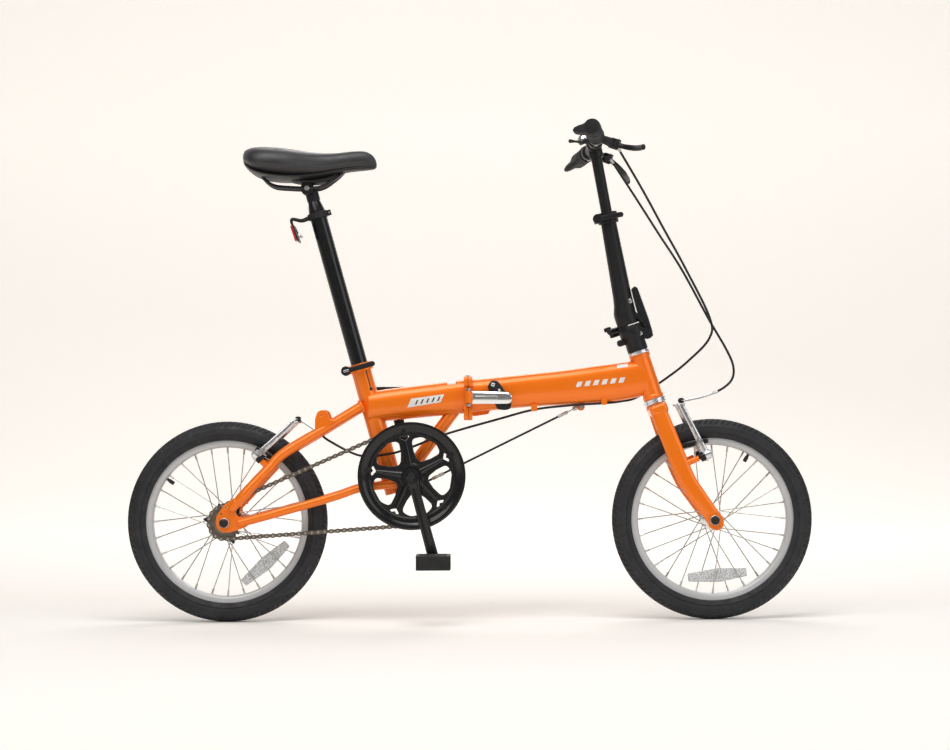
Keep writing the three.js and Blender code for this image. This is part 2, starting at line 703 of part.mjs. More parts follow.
function chainring() {
  const tooth = CHAINRING_PITCH_R - 0.4;
  const guardIn = CHAIN_Y - 7;
  const discFaces = [CHAIN_Y - 1.5, CHAIN_Y + 1.5];
  const disc = turned(
    [[79, discFaces[0]], [tooth, discFaces[0]], [tooth, discFaces[1]], [79, discFaces[1]]], 36);
  const guard = turned([[82, guardIn - 3], [GUARD_R, guardIn - 3], [GUARD_R, guardIn], [82, guardIn]], 36);
  const boss = crossRod(0, 0, guardIn - 4, CHAIN_Y + 2, 26, 16);
  const arms = [0, 1, 2, 3, 4].map((i) => {
    const angle = deg(28 + 72 * i);
    const outline = [[18, -12], [86, -12], [86, 12], [18, 12]].map(([r, s]) => [
      r * Math.cos(angle) - s * Math.sin(angle),
      r * Math.sin(angle) + s * Math.cos(angle),
    ]);
    return plate(outline, CHAIN_Y - 8, CHAIN_Y - 1);
  });
  return cut(join(disc, guard, boss, ...arms), crossRod(0, 0, -80, 0, 8.8));
}

piece("chainring", chainring(), blackPaint, drive);

function crankArm() {
  const half = CRANK_THICK / 2;
  return join(
    crossRod(0, 0, -half, half, 16, 14),
    crossRod(0, -CRANK, -half, half, 12, 12),
    plate([[-11, 0], [-9.5, -CRANK], [9.5, -CRANK], [11, 0]], -half, half),
  );
}

// The swivel block between a crank and its folding pedal, on the side's outer face.
function pedalBlock(side) {
  return join(
    crossRod(0, 0, side * (CRANK_Y + 7.3), side * 82, 7, 10),
    block(v(0, side * 86, 0.5), 26, 12.6, 27),
  );
}

function pedalCage(side) {
  const middle = side * 132.5;
  const body = block(v(0, middle, 0), 67, 76, 28);
  const windows = [-1, 1].map((end) => block(v(end * 19, middle, 0), 16, 56, 40));
  return cut(body, ...windows);
}

const crankTurn = { left: 180 - CRANK_LEAN, right: -CRANK_LEAN };
for (const [name, side] of [["left", 1], ["right", -1]]) {
  const arm = piece("crank_" + name, crankArm(), blackPaint, drive);
  arm.position.y = side * CRANK_Y;
  arm.rotation.y = deg(crankTurn[name]);
  const angle = deg(CRANK_LEAN);
  const end = groupAt(v(-side * CRANK * Math.sin(angle), 0, side * CRANK * Math.cos(angle)), drive);
  piece("pedal_block_" + name, pedalBlock(side), steel, end);
  piece("pedal_" + name, pedalCage(side), blackPlastic, end);
}

function sprocket() {
  const tip = SPROCKET_PITCH_R - 0.4;
  const bore = AXLE_R + GAP;
  const profile = [
    [bore, -10], [17, -10], [17, -2], [tip, -1.2], [tip, 1.2], [17, 2], [17, 8], [bore, 8],
  ];
  return turned(profile.map(([radius, y]) => [radius, CHAIN_Y + y]), 24);
}

piece("sprocket", sprocket(), steel, groupAt(axleRear));

// ---------- seat ----------
function seatpost() {
  const foot = along(seatTop, seatDir, -SEATPOST_INSERT);
  const shoulder = along(seatTop, seatDir, 314);
  const neck = along(seatTop, seatDir, 352);
  return join(
    rod(foot, shoulder, SEATPOST_R, SEATPOST_R, 16),
    rod(along(shoulder, seatDir, -0.5), along(shoulder, seatDir, 16), SEATPOST_R, 11, 16),
    rod(along(shoulder, seatDir, 12), neck, 11, 10.5, 12),
  );
}

function saddle() {
  // station, half width, top and bottom of each cross-section
  const stations = [
    [-447, 30, 931, 917], [-441, 62, 940, 902], [-411, 80, 945.5, 884], [-370, 80, 945, 880],
    [-330, 62, 936, 881], [-290, 42, 933.5, 886], [-250, 27, 936, 893], [-215, 21, 938.5, 899],
    [-190, 15, 932, 903], [-182, 8, 923, 908],
  ];
  const section = ([x, half, top, bottom]) =>
    Array.from({ length: 10 }, (_, i) => {
      const angle = ((i + 0.5) / 10) * 2 * Math.PI;
      const square = (value) => Math.sign(value) * Math.abs(value) ** 0.7;
      const height = (top - bottom) / 2;
      return v(x, half * square(Math.cos(angle)), (top + bottom) / 2 + height * square(Math.sin(angle)));
    });
  return loft(stations.map(section));
}

function rearReflector() {
  const low = along(seatTop, seatDir, 303);
  const clamp = ring(low, along(low, seatDir, 12), SEATPOST_R + 0.6, 21);
  const arm = plate([[-318, 806], [-318, 815], [-343, 812], [-353, 780], [-345, 780], [-338, 803]], -8, 8);
  const lens = block(v(-347, 0, 773), 9, 58, 34, -18);
  const boreRadius = SEATPOST_R + 0.6;
  const bore = rod(along(low, seatDir, -20), along(low, seatDir, 30), boreRadius, boreRadius, 16);
  return join(cut(arm, bore), clamp, lens);
}

function seatClamp() {
  const low = along(seatTop, seatDir, -15);
  const band = ring(low, along(seatTop, seatDir, 1), 20.6, 25);
  const middle = along(along(seatTop, seatDir, -7), v(seatDir.z, 0, -seatDir.x), -27);
  return join(band, block(middle, 12, 28, 13, -SEAT_TUBE_LEAN));
}

piece("seatpost", seatpost(), blackPaint);
piece("saddle_clamp", crossRod(-321, 863.5, -22, 22, 12, 12), blackPaint);
piece("saddle", saddle(), saddleVinyl);
piece("rear_reflector", rearReflector(), redPlastic);
piece("seat_clamp", seatClamp(), orangePaint);
const behindClamp = along(along(seatTop, seatDir, -7), v(seatDir.z, 0, -seatDir.x), -28);
const seatLeverPivot = along(behindClamp, v(0, -1, 0), 32);
piece("seat_clamp_lever", clampLever(seatLeverPivot, seatDir, 60), blackPaint);

export default bicycle;
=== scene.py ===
"""The looks of a folding city bicycle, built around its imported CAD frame.

Lengths are millimetres. Only the lamps and the paper's glow are placed in metres.
"""

import json
import math

import bmesh
import bpy
from mathutils import Matrix, Vector


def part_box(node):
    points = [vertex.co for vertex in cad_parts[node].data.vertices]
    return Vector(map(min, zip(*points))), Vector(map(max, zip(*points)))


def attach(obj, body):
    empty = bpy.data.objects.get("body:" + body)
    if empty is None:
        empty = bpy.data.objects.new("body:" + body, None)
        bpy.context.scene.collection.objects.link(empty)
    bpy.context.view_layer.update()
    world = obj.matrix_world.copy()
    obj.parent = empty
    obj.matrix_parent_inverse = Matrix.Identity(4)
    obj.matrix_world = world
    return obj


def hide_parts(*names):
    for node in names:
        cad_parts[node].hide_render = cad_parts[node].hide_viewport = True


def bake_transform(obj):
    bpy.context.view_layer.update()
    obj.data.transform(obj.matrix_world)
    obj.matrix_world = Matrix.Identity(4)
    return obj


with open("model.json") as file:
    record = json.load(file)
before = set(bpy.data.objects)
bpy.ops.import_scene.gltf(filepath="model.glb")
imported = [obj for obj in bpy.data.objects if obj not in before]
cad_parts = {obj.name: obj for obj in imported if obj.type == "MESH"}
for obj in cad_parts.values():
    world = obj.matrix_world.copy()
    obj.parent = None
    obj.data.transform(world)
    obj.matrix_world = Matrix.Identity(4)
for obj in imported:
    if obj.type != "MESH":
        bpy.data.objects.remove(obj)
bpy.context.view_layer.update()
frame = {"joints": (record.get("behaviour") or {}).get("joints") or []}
joints = {joint["name"]: joint for joint in frame["joints"]}

MM = 0.001
TAU = 2 * math.pi


def at(x, y, z):
    """A place in millimetres."""
    return Vector((x, y, z))


def pivot(name):
    """The place of a joint."""
    return Vector(joints[name]["pos_m"]) / MM


def axis_of(name):
    return Vector(joints[name]["axis"]).normalized()


def forward_of(axis):
    """The direction square to a leaning axis, in the bicycle's plane."""
    return Vector((axis.z, 0, -axis.x))


def middle(node):
    low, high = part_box(node)
    return (low + high) / 2 / MM


# ---------- places taken from the frame ----------
SIDE = Vector((0, 1, 0))
UP = Vector((0, 0, 1))
FORWARD = Vector((1, 0, 0))
rear_axle = pivot("rear_wheel_spin")
front_axle = pivot("front_wheel_spin")
crank_centre = pivot("crank_spin")
seat_dir = axis_of("seatpost_height")
steer_dir = axis_of("steering")
post_dir = axis_of("handlebar_height")
head_top = pivot("steering")
main_hinge = pivot("frame_fold")
tyre_radius = rear_axle.z
LEFT_RIGHT = (("left", 1), ("right", -1))


# ---------- mesh helpers ----------
def add_object(name, mesh):
    obj = bpy.data.objects.new(name, mesh)
    bpy.context.scene.collection.objects.link(obj)
    return obj


def outward(mesh):
    """Turns every face of a mesh to look out of it."""
    editable = bmesh.new()
    editable.from_mesh(mesh)
    bmesh.ops.recalc_face_normals(editable, faces=editable.faces)
    editable.to_mesh(mesh)
    editable.free()


def solid(vertices, faces, sharp=35):
    """A smooth-shaded mesh object."""
    mesh = bpy.data.meshes.new("solid")
    mesh.from_pydata([tuple(v * MM) for v in vertices], [], faces)
    outward(mesh)
    mesh.shade_smooth()
    mesh.set_sharp_from_angle(angle=math.radians(sharp))
    return add_object("solid", mesh)


def bake(obj):
    """Replaces an object by its evaluated mesh, with its place applied."""
    bpy.context.view_layer.update()
    evaluated = obj.evaluated_get(bpy.context.evaluated_depsgraph_get())
    mesh = bpy.data.meshes.new_from_object(evaluated)
    mesh.transform(obj.matrix_world)
    baked = add_object(obj.name, mesh)
    if obj.type == "MESH" and not mesh.materials:
        for material in obj.data.materials:
            mesh.materials.append(material)
    bpy.data.objects.remove(obj)
    return baked


def bevel(obj, width, segments=2):
    modifier = obj.modifiers.new("bevel", "BEVEL")
    modifier.width = width * MM
    modifier.segments = segments
    modifier.limit_method = "ANGLE"
    modifier.angle_limit = math.radians(40)
    return bake(obj)


def joined(objects):
    objects = list(objects)
    first = objects[0]
    if len(objects) > 1:
        with bpy.context.temp_override(active_object=first, selected_editable_objects=objects):
            bpy.ops.object.join()
    return first


def painted(obj, material):
    obj.data.materials.clear()
    obj.data.materials.append(material)
    return obj


def piece(name, body, parts, replaces=()):
    """Joins parts, each an (object, material) pair, into one piece that rides on a body."""
    whole = joined([painted(obj, material) for obj, material in parts])
    whole.name = name
    whole.data.name = name
    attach(whole, body)
    if replaces:
        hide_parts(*replaces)
    return whole


def same(material, *objects):
    return [(obj, material) for obj in objects]


def circle(radius, count):
    return [(radius * math.cos(TAU * i / count), radius * math.sin(TAU * i / count)) for i in range(count)]


def oval(width, height, count=32, power=1.0):
    """A closed outline; power below 1 makes it squarer."""

    def rounded(value):
        return math.copysign(abs(value) ** power, value)

    angles = [TAU * i / count for i in range(count)]
    return [(width / 2 * rounded(math.cos(a)), height / 2 * rounded(math.sin(a))) for a in angles]


def skin(rings, closed=False, sharp=35):
    """A solid skinned over rings of equal point counts."""
    count = len(rings[0])
    vertices = [point for ring in rings for point in ring]
    faces = []
    spans = len(rings) if closed else len(rings) - 1
    for r in range(spans):
        a = r * count
        b = ((r + 1) % len(rings)) * count
        for i in range(count):
            j = (i + 1) % count
            faces.append((a + i, a + j, b + j, b + i))
    if not closed:
        faces.append(tuple(reversed(range(count))))
        faces.append(tuple(range(len(vertices) - count, len(vertices))))
    return solid(vertices, faces, sharp)


def curve_points(controls, steps=8):
    """Points on a smooth curve through controls."""
    knots = [2 * controls[0] - controls[1], *controls, 2 * controls[-1] - controls[-2]]
    points = []
    for a, b, c, d in zip(knots, knots[1:], knots[2:], knots[3:]):
        for i in range(steps):
            t = i / steps
            points.append(catmull(a, b, c, d, t))
    return points + [controls[-1]]


def catmull(a, b, c, d, t):
    return 0.5 * (2 * b + (c - a) * t + (2 * a - 5 * b + 4 * c - d) * t**2 + (3 * b - a - 3 * c + d) * t**3)


def tangents(points):
    ends = list(zip([points[0], *points[:-1]], [*points[1:], points[-1]]))
    return [(b - a).normalized() for a, b in ends]


def sweep(points, section, side=SIDE, sharp=35):
    """A bar along points. section(share) gives (a, b) offsets in mm: a along side, b across it."""
    rings = []
    last = len(points) - 1
    across = side
    for i, (point, tangent) in enumerate(zip(points, tangents(points))):
        across = (across - tangent * across.dot(tangent)).normalized()
        other = tangent.cross(across)
        rings.append([point + (across * a + other * b) for a, b in section(i / last)])
    return skin(rings, sharp=sharp)


def pipe(points, radius, count=16, side=SIDE):
    """A round bar; radius in mm is a number or a function of the share along it."""
    size = radius if callable(radius) else lambda share: radius
    return sweep(points, lambda share: circle(size(share), count), side)


def rod(a, b, radius, end_radius=None, count=24, edge=0.6):
    """A straight round bar with softened ends."""
    end_radius = radius if end_radius is None else end_radius
    length = (b - a).length
    edge = min(edge, radius * 0.4, length * 0.3)
    profile = [
        (0, 0), (radius - edge, 0), (radius, edge), (end_radius, length - edge),
        (end_radius - edge, length), (0, length),
    ]
    return lathe(profile, a, (b - a).normalized(), count)


def lathe(profile, origin, axis, count=48, closed=False, sharp=30):
    """A solid of revolution: profile holds (radius, height) pairs in mm along axis from origin."""
    helper = UP if abs(axis.z) < 0.9 else FORWARD
    u = axis.cross(helper).normalized()
    w = axis.cross(u)
    rows = []
    for radius, height in profile:
        centre = origin + axis * height
        if radius < 1e-6:
            rows.append([centre])
        else:
            rows.append([centre + (u * a + w * b) for a, b in circle(radius, count)])
    vertices = [point for row in rows for point in row]
    starts = [sum(len(row) for row in rows[:k]) for k in range(len(rows))]
    pairs = list(zip(range(len(rows)), range(1, len(rows))))
    if closed:
        pairs.append((len(rows) - 1, 0))
    faces = []
    for p, q in pairs:
        for i in range(count):
            j = (i + 1) % count
            low = [starts[p]] if len(rows[p]) == 1 else [starts[p] + i, starts[p] + j]
            high = [starts[q]] if len(rows[q]) == 1 else [starts[q] + j, starts[q] + i]
            if len(low) + len(high) > 2:
                faces.append(tuple(reversed(low + high)))
    return solid(vertices, faces, sharp)


def ball(centre, radius, scale=(1, 1, 1)):
    profile = [
        (radius * math.sin(math.pi * i / 12), -radius * math.cos(math.pi * i / 12))
        for i in range(13)
    ]
    obj = lathe(profile, Vector(), UP, 20)
    obj.matrix_world = Matrix.Translation(centre * MM) @ Matrix.Diagonal((*scale, 1))
    return bake(obj)


def rounded(points, radius, steps=5):
    """An outline in mm whose corners are rounded; a point may carry its own radius as a third value."""
    result = []
    count = len(points)
    for i, point in enumerate(points):
        here = Vector(point[:2])
        before = Vector(points[i - 1][:2]) - here
        after = Vector(points[(i + 1) % count][:2]) - here
        own = point[2] if len(point) > 2 else radius
        bend = before.angle(after)
        reach = min(own / math.tan(bend / 2), 0.45 * before.length, 0.45 * after.length)
        start = here + before.normalized() * reach
        end = here + after.normalized() * reach
        for k in range(steps + 1):
            t = k / steps
            result.append(tuple((1 - t) ** 2 * start + 2 * t * (1 - t) * here + t * t * end))
    return result


UPRIGHT = Matrix(((1, 0, 0, 0), (0, 0, -1, 0), (0, 1, 0, 0), (0, 0, 0, 1)))


def plate(outline, y0, y1, holes=(), edge=0.6):
    """A flat plate from (x, z) outlines in mm between two y values, with softened edges."""
    data = bpy.data.curves.new("plate", "CURVE")
    data.dimensions = "2D"
    data.fill_mode = "BOTH"
    data.extrude = ((y1 - y0) / 2 - edge) * MM
    data.bevel_depth = edge * MM
    data.bevel_resolution = 1
    data.offset = -edge * MM
    for line in (outline, *holes):
        spline = data.splines.new("POLY")
        spline.points.add(len(line) - 1)
        for knot, (x, z) in zip(spline.points, line):
            knot.co = (x * MM, z * MM, 0, 1)
        spline.use_cyclic_u = True
    obj = add_object("plate", data)
    obj.matrix_world = Matrix.Translation(at(0, (y0 + y1) / 2, 0) * MM) @ UPRIGHT
    flat = bake(obj)
    flat.data.shade_smooth()
    flat.data.set_sharp_from_angle(angle=math.radians(30))
    return flat


def hole(x, z, radius, count=24):
    return [(x + a, z + b) for a, b in circle(radius, count)]


def block(centre, size, edge=1.0, turn=None, segments=2):
    """A rounded box with an optional rotation matrix."""
    x, y, z = (value / 2 for value in size)
    corners = [at(sx * x, sy * y, sz * z) for sx in (-1, 1) for sy in (-1, 1) for sz in (-1, 1)]
    faces = [(0, 1, 3, 2), (4, 6, 7, 5), (0, 4, 5, 1), (2, 3, 7, 6), (0, 2, 6, 4), (1, 5, 7, 3)]
    obj = solid(corners, faces)
    obj.matrix_world = Matrix.Translation(centre * MM) @ (turn.to_4x4() if turn else Matrix.Identity(4))
    return bevel(obj, edge, segments)


def facing(x_axis, z_axis):
    """A rotation whose X and Z columns follow two directions."""
    x = x_axis.normalized()
    y = z_axis.cross(x).normalized()
    z = x.cross(y)
    return Matrix((x, y, z)).transposed()


def nut(centre, axis, across, height):
    """A hexagon nut or bolt head that stands on centre."""
    radius = across / math.sqrt(3)
    profile = [(0, 0), (radius, 0), (radius, height), (0, height)]
    return bevel(lathe(profile, centre, axis, 6, sharp=20), 0.5)


def hex_socket(centre, axis, radius):
    """A round bolt head with its socket."""
    profile = [
        (0, -3), (radius, -3), (radius, 1.2), (radius * 0.86, 2), (radius * 0.5, 2), (radius * 0.46, 0.4),
        (0, 0.4),
    ]
    return lathe(profile, centre, axis, 18)


# ---------- materials ----------
class Shader:
    """A small helper that builds one Principled material out of nodes."""

    def __init__(self, name, color, roughness, **settings):
        self.material = bpy.data.materials.new(name)
        self.material.use_nodes = True
        self.tree = self.material.node_tree
        self.surface = self.tree.nodes["Principled BSDF"]
        self.color = (*color, 1)
        self.set(self.surface, Base_Color=self.color, Roughness=roughness, **settings)

    def set(self, node, **values):
        """Sets a node's inputs and settings by name, with _ for a space."""
        for key, value in values.items():
            name = key.replace("_", " ")
            if name in node.inputs:
                node.inputs[name].default_value = value
            else:
                setattr(node, key, value)
        return node

    def node(self, kind, **values):
        return self.set(self.tree.nodes.new(kind), **values)

    def link(self, output, target):
        self.tree.links.new(output, target)

    def place(self, stretch=(1, 1, 1)):
        mapping = self.node("ShaderNodeMapping")
        mapping.inputs["Scale"].default_value = stretch
        coordinates = self.node("ShaderNodeTexCoord")
        self.link(coordinates.outputs["Object"], mapping.inputs["Vector"])
        return mapping.outputs["Vector"]

    def noise(self, scale, detail=3.0, stretch=(1, 1, 1)):
        made = self.node("ShaderNodeTexNoise", Scale=scale, Detail=detail)
        self.link(self.place(stretch), made.inputs["Vector"])
        return made.outputs["Fac"]

    def cells(self, scale, feature="F1", stretch=(1, 1, 1)):
        made = self.node("ShaderNodeTexVoronoi", Scale=scale, feature=feature)
        self.link(self.place(stretch), made.inputs["Vector"])
        return made.outputs["Distance"]

    def ramp(self, value, low, high, start=0.35, end=0.65):
        """Low where value is at start, high where it is at end."""
        made = self.node("ShaderNodeMapRange", From_Min=start, From_Max=end, To_Min=low, To_Max=high)
        self.link(value, made.inputs["Value"])
        return made.outputs["Result"]

    def calculate(self, operation, *values):
        """A sum on outputs and numbers."""
        made = self.node("ShaderNodeMath", operation=operation)
        for value, target in zip(values, made.inputs):
            if isinstance(value, float):
                target.default_value = value
            else:
                self.link(value, target)
        return made.outputs["Value"]

    def mix_towards(self, other, factor):
        """Mixes the base colour towards another by an output."""
        mix = self.node("ShaderNodeMix", data_type="RGBA", A=self.color, B=(*other, 1))
        base = self.surface.inputs["Base Color"]
        if base.is_linked:
            self.link(base.links[0].from_socket, mix.inputs["A"])
        self.link(factor, mix.inputs["Factor"])
        self.link(mix.outputs["Result"], base)
        return self

    def tint(self, value, other, share=1.0):
        """Mixes the base colour towards another where value is high."""
        return self.mix_towards(other, self.ramp(value, 0.0, share))

    def vary_roughness(self, value, low, high):
        self.link(self.ramp(value, low, high), self.surface.inputs["Roughness"])
        return self

    def bump(self, value, depth, strength=1.0):
        """Raises the surface by value times depth in mm."""
        made = self.node("ShaderNodeBump", Strength=strength, Distance=depth * MM)
        self.link(value, made.inputs["Height"])
        normal = self.surface.inputs["Normal"]
        if normal.is_linked:
            self.link(normal.links[0].from_socket, made.inputs["Normal"])
        self.link(made.outputs["Normal"], normal)
        return self

    def worn_edges(self, other, share=0.6, radius=1.2):
        """Brightens outer edges, where handling rubs a finish."""
        soft = self.node("ShaderNodeBevel", samples=4, Radius=radius * MM)
        geometry = self.node("ShaderNodeNewGeometry")
        dot = self.node("ShaderNodeVectorMath", operation="DOT_PRODUCT")
        self.link(soft.outputs["Normal"], dot.inputs[0])
        self.link(geometry.outputs["Normal"], dot.inputs[1])
        edge = self.ramp(dot.outputs["Value"], 0, 1, 0.995, 0.9)
        patches = self.ramp(self.noise(140), 0, 1, 0.45, 0.6)
        worn = self.calculate("MULTIPLY", edge, patches)
        return self.mix_towards(other, self.calculate("MULTIPLY", worn, share))


def orange_paint():
    """Gloss orange enamel under a clear coat, with faint orange peel."""
    paint = Shader(
        "orange_paint", (0.96, 0.19, 0.006), 0.34, Metallic=0.24, Coat_Weight=0.7, Coat_Roughness=0.07,
        Specular_IOR_Level=0.12,
    )
    paint.tint(paint.noise(9), (0.96, 0.215, 0.008), 0.5)
    paint.bump(paint.noise(420, 2), 0.02, 0.35)
    return paint.worn_edges((0.7, 0.16, 0.02), 0.35).material


def black_gloss():
    """Painted steel of the crankset."""
    paint = Shader(
        "black_gloss", (0.006, 0.006, 0.007), 0.24, Coat_Weight=0.35, Coat_Roughness=0.08,
        Specular_IOR_Level=0.3,
    )
    paint.vary_roughness(paint.noise(60, 5), 0.16, 0.3)
    paint.bump(paint.noise(500, 2), 0.015, 0.4)
    return paint.worn_edges((0.1, 0.1, 0.105), 0.3).material


def black_satin():
    """Fine powder coat of the handlepost and levers."""
    paint = Shader("black_satin", (0.009, 0.009, 0.0105), 0.4, Specular_IOR_Level=0.32)
    paint.vary_roughness(paint.noise(90, 4), 0.36, 0.48)
    paint.bump(paint.noise(1500, 2), 0.05, 0.4)
    return paint.worn_edges((0.09, 0.09, 0.095), 0.35).material


def black_plastic():
    """Spark-eroded moulded nylon."""
    plastic = Shader("black_plastic", (0.011, 0.011, 0.012), 0.48, Specular_IOR_Level=0.35)
    plastic.tint(plastic.noise(40), (0.02, 0.02, 0.021), 0.7)
    plastic.bump(plastic.noise(2200, 2), 0.06, 0.6)
    return plastic.material


def cable_sheath():
    sheath = Shader("cable_sheath", (0.008, 0.008, 0.009), 0.32, Specular_IOR_Level=0.35)
    sheath.vary_roughness(sheath.noise(220, 3), 0.26, 0.42)
    return sheath.bump(sheath.noise(700), 0.02, 0.4).material


def grip_rubber():
    rubber = Shader("grip_rubber", (0.014, 0.014, 0.015), 0.68, Specular_IOR_Level=0.3)
    rubber.tint(rubber.noise(55), (0.026, 0.026, 0.027), 0.8)
    rubber.bump(rubber.cells(900), 0.12, 0.5)
    return rubber.material


def saddle_vinyl():
    """Embossed upholstery vinyl: small leather cells with fine creases between them."""
    vinyl = Shader("saddle_vinyl", (0.011, 0.011, 0.0135), 0.4, Specular_IOR_Level=0.62, Sheen_Weight=0.1)
    vinyl.vary_roughness(vinyl.noise(70, 4), 0.36, 0.5)
    vinyl.bump(vinyl.cells(620, "DISTANCE_TO_EDGE"), 0.35, 0.35)
    vinyl.bump(vinyl.noise(1600, 3), 0.05, 0.4)
    return vinyl.tint(vinyl.noise(24), (0.018, 0.018, 0.02), 0.8).material


def tyre_rubber():
    rubber = Shader("tyre_rubber", (0.012, 0.0125, 0.0155), 0.6, Specular_IOR_Level=0.45)
    rubber.tint(rubber.noise(34, 6), (0.024, 0.024, 0.027), 0.7)
    rubber.vary_roughness(rubber.noise(80, 4), 0.5, 0.72)
    return rubber.bump(rubber.noise(900, 4), 0.08, 0.5).material


def brushed(name, color, low, high, stretch):
    """Metal with fine drawn lines along one direction."""
    metal = Shader(name, color, (low + high) / 2, Metallic=1.0)
    metal.vary_roughness(metal.noise(180, 4, stretch), low, high)
    metal.bump(metal.noise(900, 2, stretch), 0.015, 0.35)
    return metal.tint(metal.noise(12), tuple(value * 0.86 for value in color), 0.6).material


def silver_metal():
    return brushed("silver_metal", (0.8, 0.81, 0.83), 0.16, 0.3, (1, 1, 1))


def rim_metal():
    metal = Shader("rim_metal", (0.6, 0.61, 0.62), 0.42, Metallic=0.5)
    metal.vary_roughness(metal.noise(90, 3), 0.36, 0.5)
    return metal.tint(metal.noise(14), (0.53, 0.54, 0.55), 0.5).material


def chrome():
    metal = Shader("chrome", (0.86, 0.87, 0.88), 0.06, Metallic=1.0)
    return metal.vary_roughness(metal.noise(60, 4), 0.04, 0.14).material


def steel():
    metal = Shader("steel", (0.56, 0.56, 0.55), 0.3, Metallic=1.0)
    metal.tint(metal.noise(120, 5), (0.4, 0.39, 0.37), 0.7)
    return metal.vary_roughness(metal.noise(200, 3), 0.22, 0.42).material


def chain_steel():
    metal = Shader("chain_steel", (0.2, 0.175, 0.15), 0.42, Metallic=0.85)
    metal.tint(metal.noise(260, 4), (0.16, 0.12, 0.09), 0.8)
    return metal.vary_roughness(metal.noise(300, 3), 0.26, 0.5).material


def brake_rubber():
    rubber = Shader("brake_rubber", (0.018, 0.018, 0.019), 0.75)
    return rubber.bump(rubber.noise(800, 3), 0.06, 0.5).material


def prismatic(name, color, transmission):
    """A moulded reflector: clear skin over rows of tiny corner cubes, with painted shade towards each
    cube's edge and a faint painted glow in its own colour.
    """
    lens = Shader(name, color, 0.14, Coat_Weight=1.0, Coat_Roughness=0.03, Transmission_Weight=transmission)
    lens.bump(lens.cells(330, "F1"), 0.9, 0.7)
    # Painted glow: the lens gives off a little light in its own colour, though it is no lamp.
    lens.set(lens.surface, Emission_Color=(*color, 1), Emission_Strength=0.04)
    # Painted shade: the colour darkens towards the edge of each corner cube, in the grooves between the
    # cubes.
    cube_edge_shade = tuple(value * 0.45 for value in color)
    return lens.tint(lens.cells(330, "F1"), cube_edge_shade, 0.8).material


def white_print():
    ink = Shader("white_print", (0.8, 0.8, 0.78), 0.35, Coat_Weight=0.4)
    return ink.tint(ink.noise(60), (0.68, 0.68, 0.66), 0.6).material


def brown_print():
    ink = Shader("brown_print", (0.09, 0.03, 0.012), 0.4, Coat_Weight=0.4)
    return ink.vary_roughness(ink.noise(60), 0.3, 0.45).material


ORANGE = orange_paint()
GLOSS = black_gloss()
SATIN = black_satin()
PLASTIC = black_plastic()
SHEATH = cable_sheath()
GRIP = grip_rubber()
VINYL = saddle_vinyl()
TYRE = tyre_rubber()
SILVER = silver_metal()
RIM = rim_metal()
CHROME = chrome()
STEEL = steel()
CHAIN = chain_steel()
SHOE = brake_rubber()
RED = prismatic("red_reflector", (0.62, 0.012, 0.02), 0.0)
CLEAR = prismatic("clear_reflector", (0.72, 0.74, 0.76), 0.0)
WHITE = white_print()
BROWN = brown_print()


# ---------- wheels ----------
SECTION_R = 23.5
RIM_R = 162
FLANGE_R = 22
FLANGE_Y = 28
SPOKES = 28
TREAD_BLOCKS = 104


def tread_cut(turn, lean):
    """How deep the tread is cut, 0 to 1, at a share of a turn and a lean in degrees off the crown."""
    wave = abs((turn * TREAD_BLOCKS) % 1 - 0.5) * 2
    off = abs(lean)
    rib = abs(off - 11 - 5 * wave) < 2.4
    phase = (turn * TREAD_BLOCKS + off * 0.022 * (1 if lean > 0 else -1) + (0.5 if lean > 0 else 0)) % 1
    shoulder = 17 < off < 54 and phase < 0.26
    sipe = 26 < off < 44 and abs(phase - 0.63) < 0.06
    return 1.0 if rib or shoulder else 0.5 if sipe else 0.0


def tyre(centre):
    """The carcass as a grid round the axle, with the tread pattern pressed into its crown."""
    around = 832
    middle_r = tyre_radius - SECTION_R
    leans = [
        -128, -112, -96, -84, -72, -62, -55, -53, -49, -45, -41, -37, -33, -29, -25, -21, -18, -15, -12, -9,
        -6, -3,
    ]
    leans = leans + [0] + [-lean for lean in reversed(leans)]
    rings = []
    for i in range(around):
        turn = i / around
        u = FORWARD * math.cos(TAU * turn) + UP * math.sin(TAU * turn)
        ring = []
        for lean in leans:
            section = SECTION_R - 1.9 * tread_cut(turn, lean)
            angle = math.radians(lean)
            bead = 0.86 if abs(lean) > 110 else 1.0
            radius = max(RIM_R - 1.5, middle_r + section * math.cos(angle))
            ring.append(centre + (u * radius + SIDE * section * math.sin(angle) * bead))
        rings.append(ring)
    return skin(rings, closed=True, sharp=50)


def sidewall_lines(centre):
    """Moulded rings on both sidewalls."""
    rings = []
    for side in (-1, 1):
        for radius, reach in ((170.5, 22.9), (183.5, 22.3)):
            profile = [
                (radius + 0.8 * math.cos(a), side * reach + 0.8 * math.sin(a))
                for a in (TAU * k / 8 for k in range(8))
            ]
            rings.append(lathe(profile, centre, SIDE, 120, closed=True))
    return rings


def rim(centre):
    half = [
        (147.4, 0), (147.5, 4), (148.4, 7.5), (150.6, 10.6), (152, 11.3), (152.6, 11.1), (153.2, 11.6),
        (158.4, 12), (158.8, 11.7), (159.2, 12), (161.6, 12), (162.2, 11.4), (161.8, 10.4), (158.8, 9.8),
    ]
    profile = half + [(radius, -y) for radius, y in reversed(half[1:])]
    return lathe(profile, centre, SIDE, 180, closed=True, sharp=25)


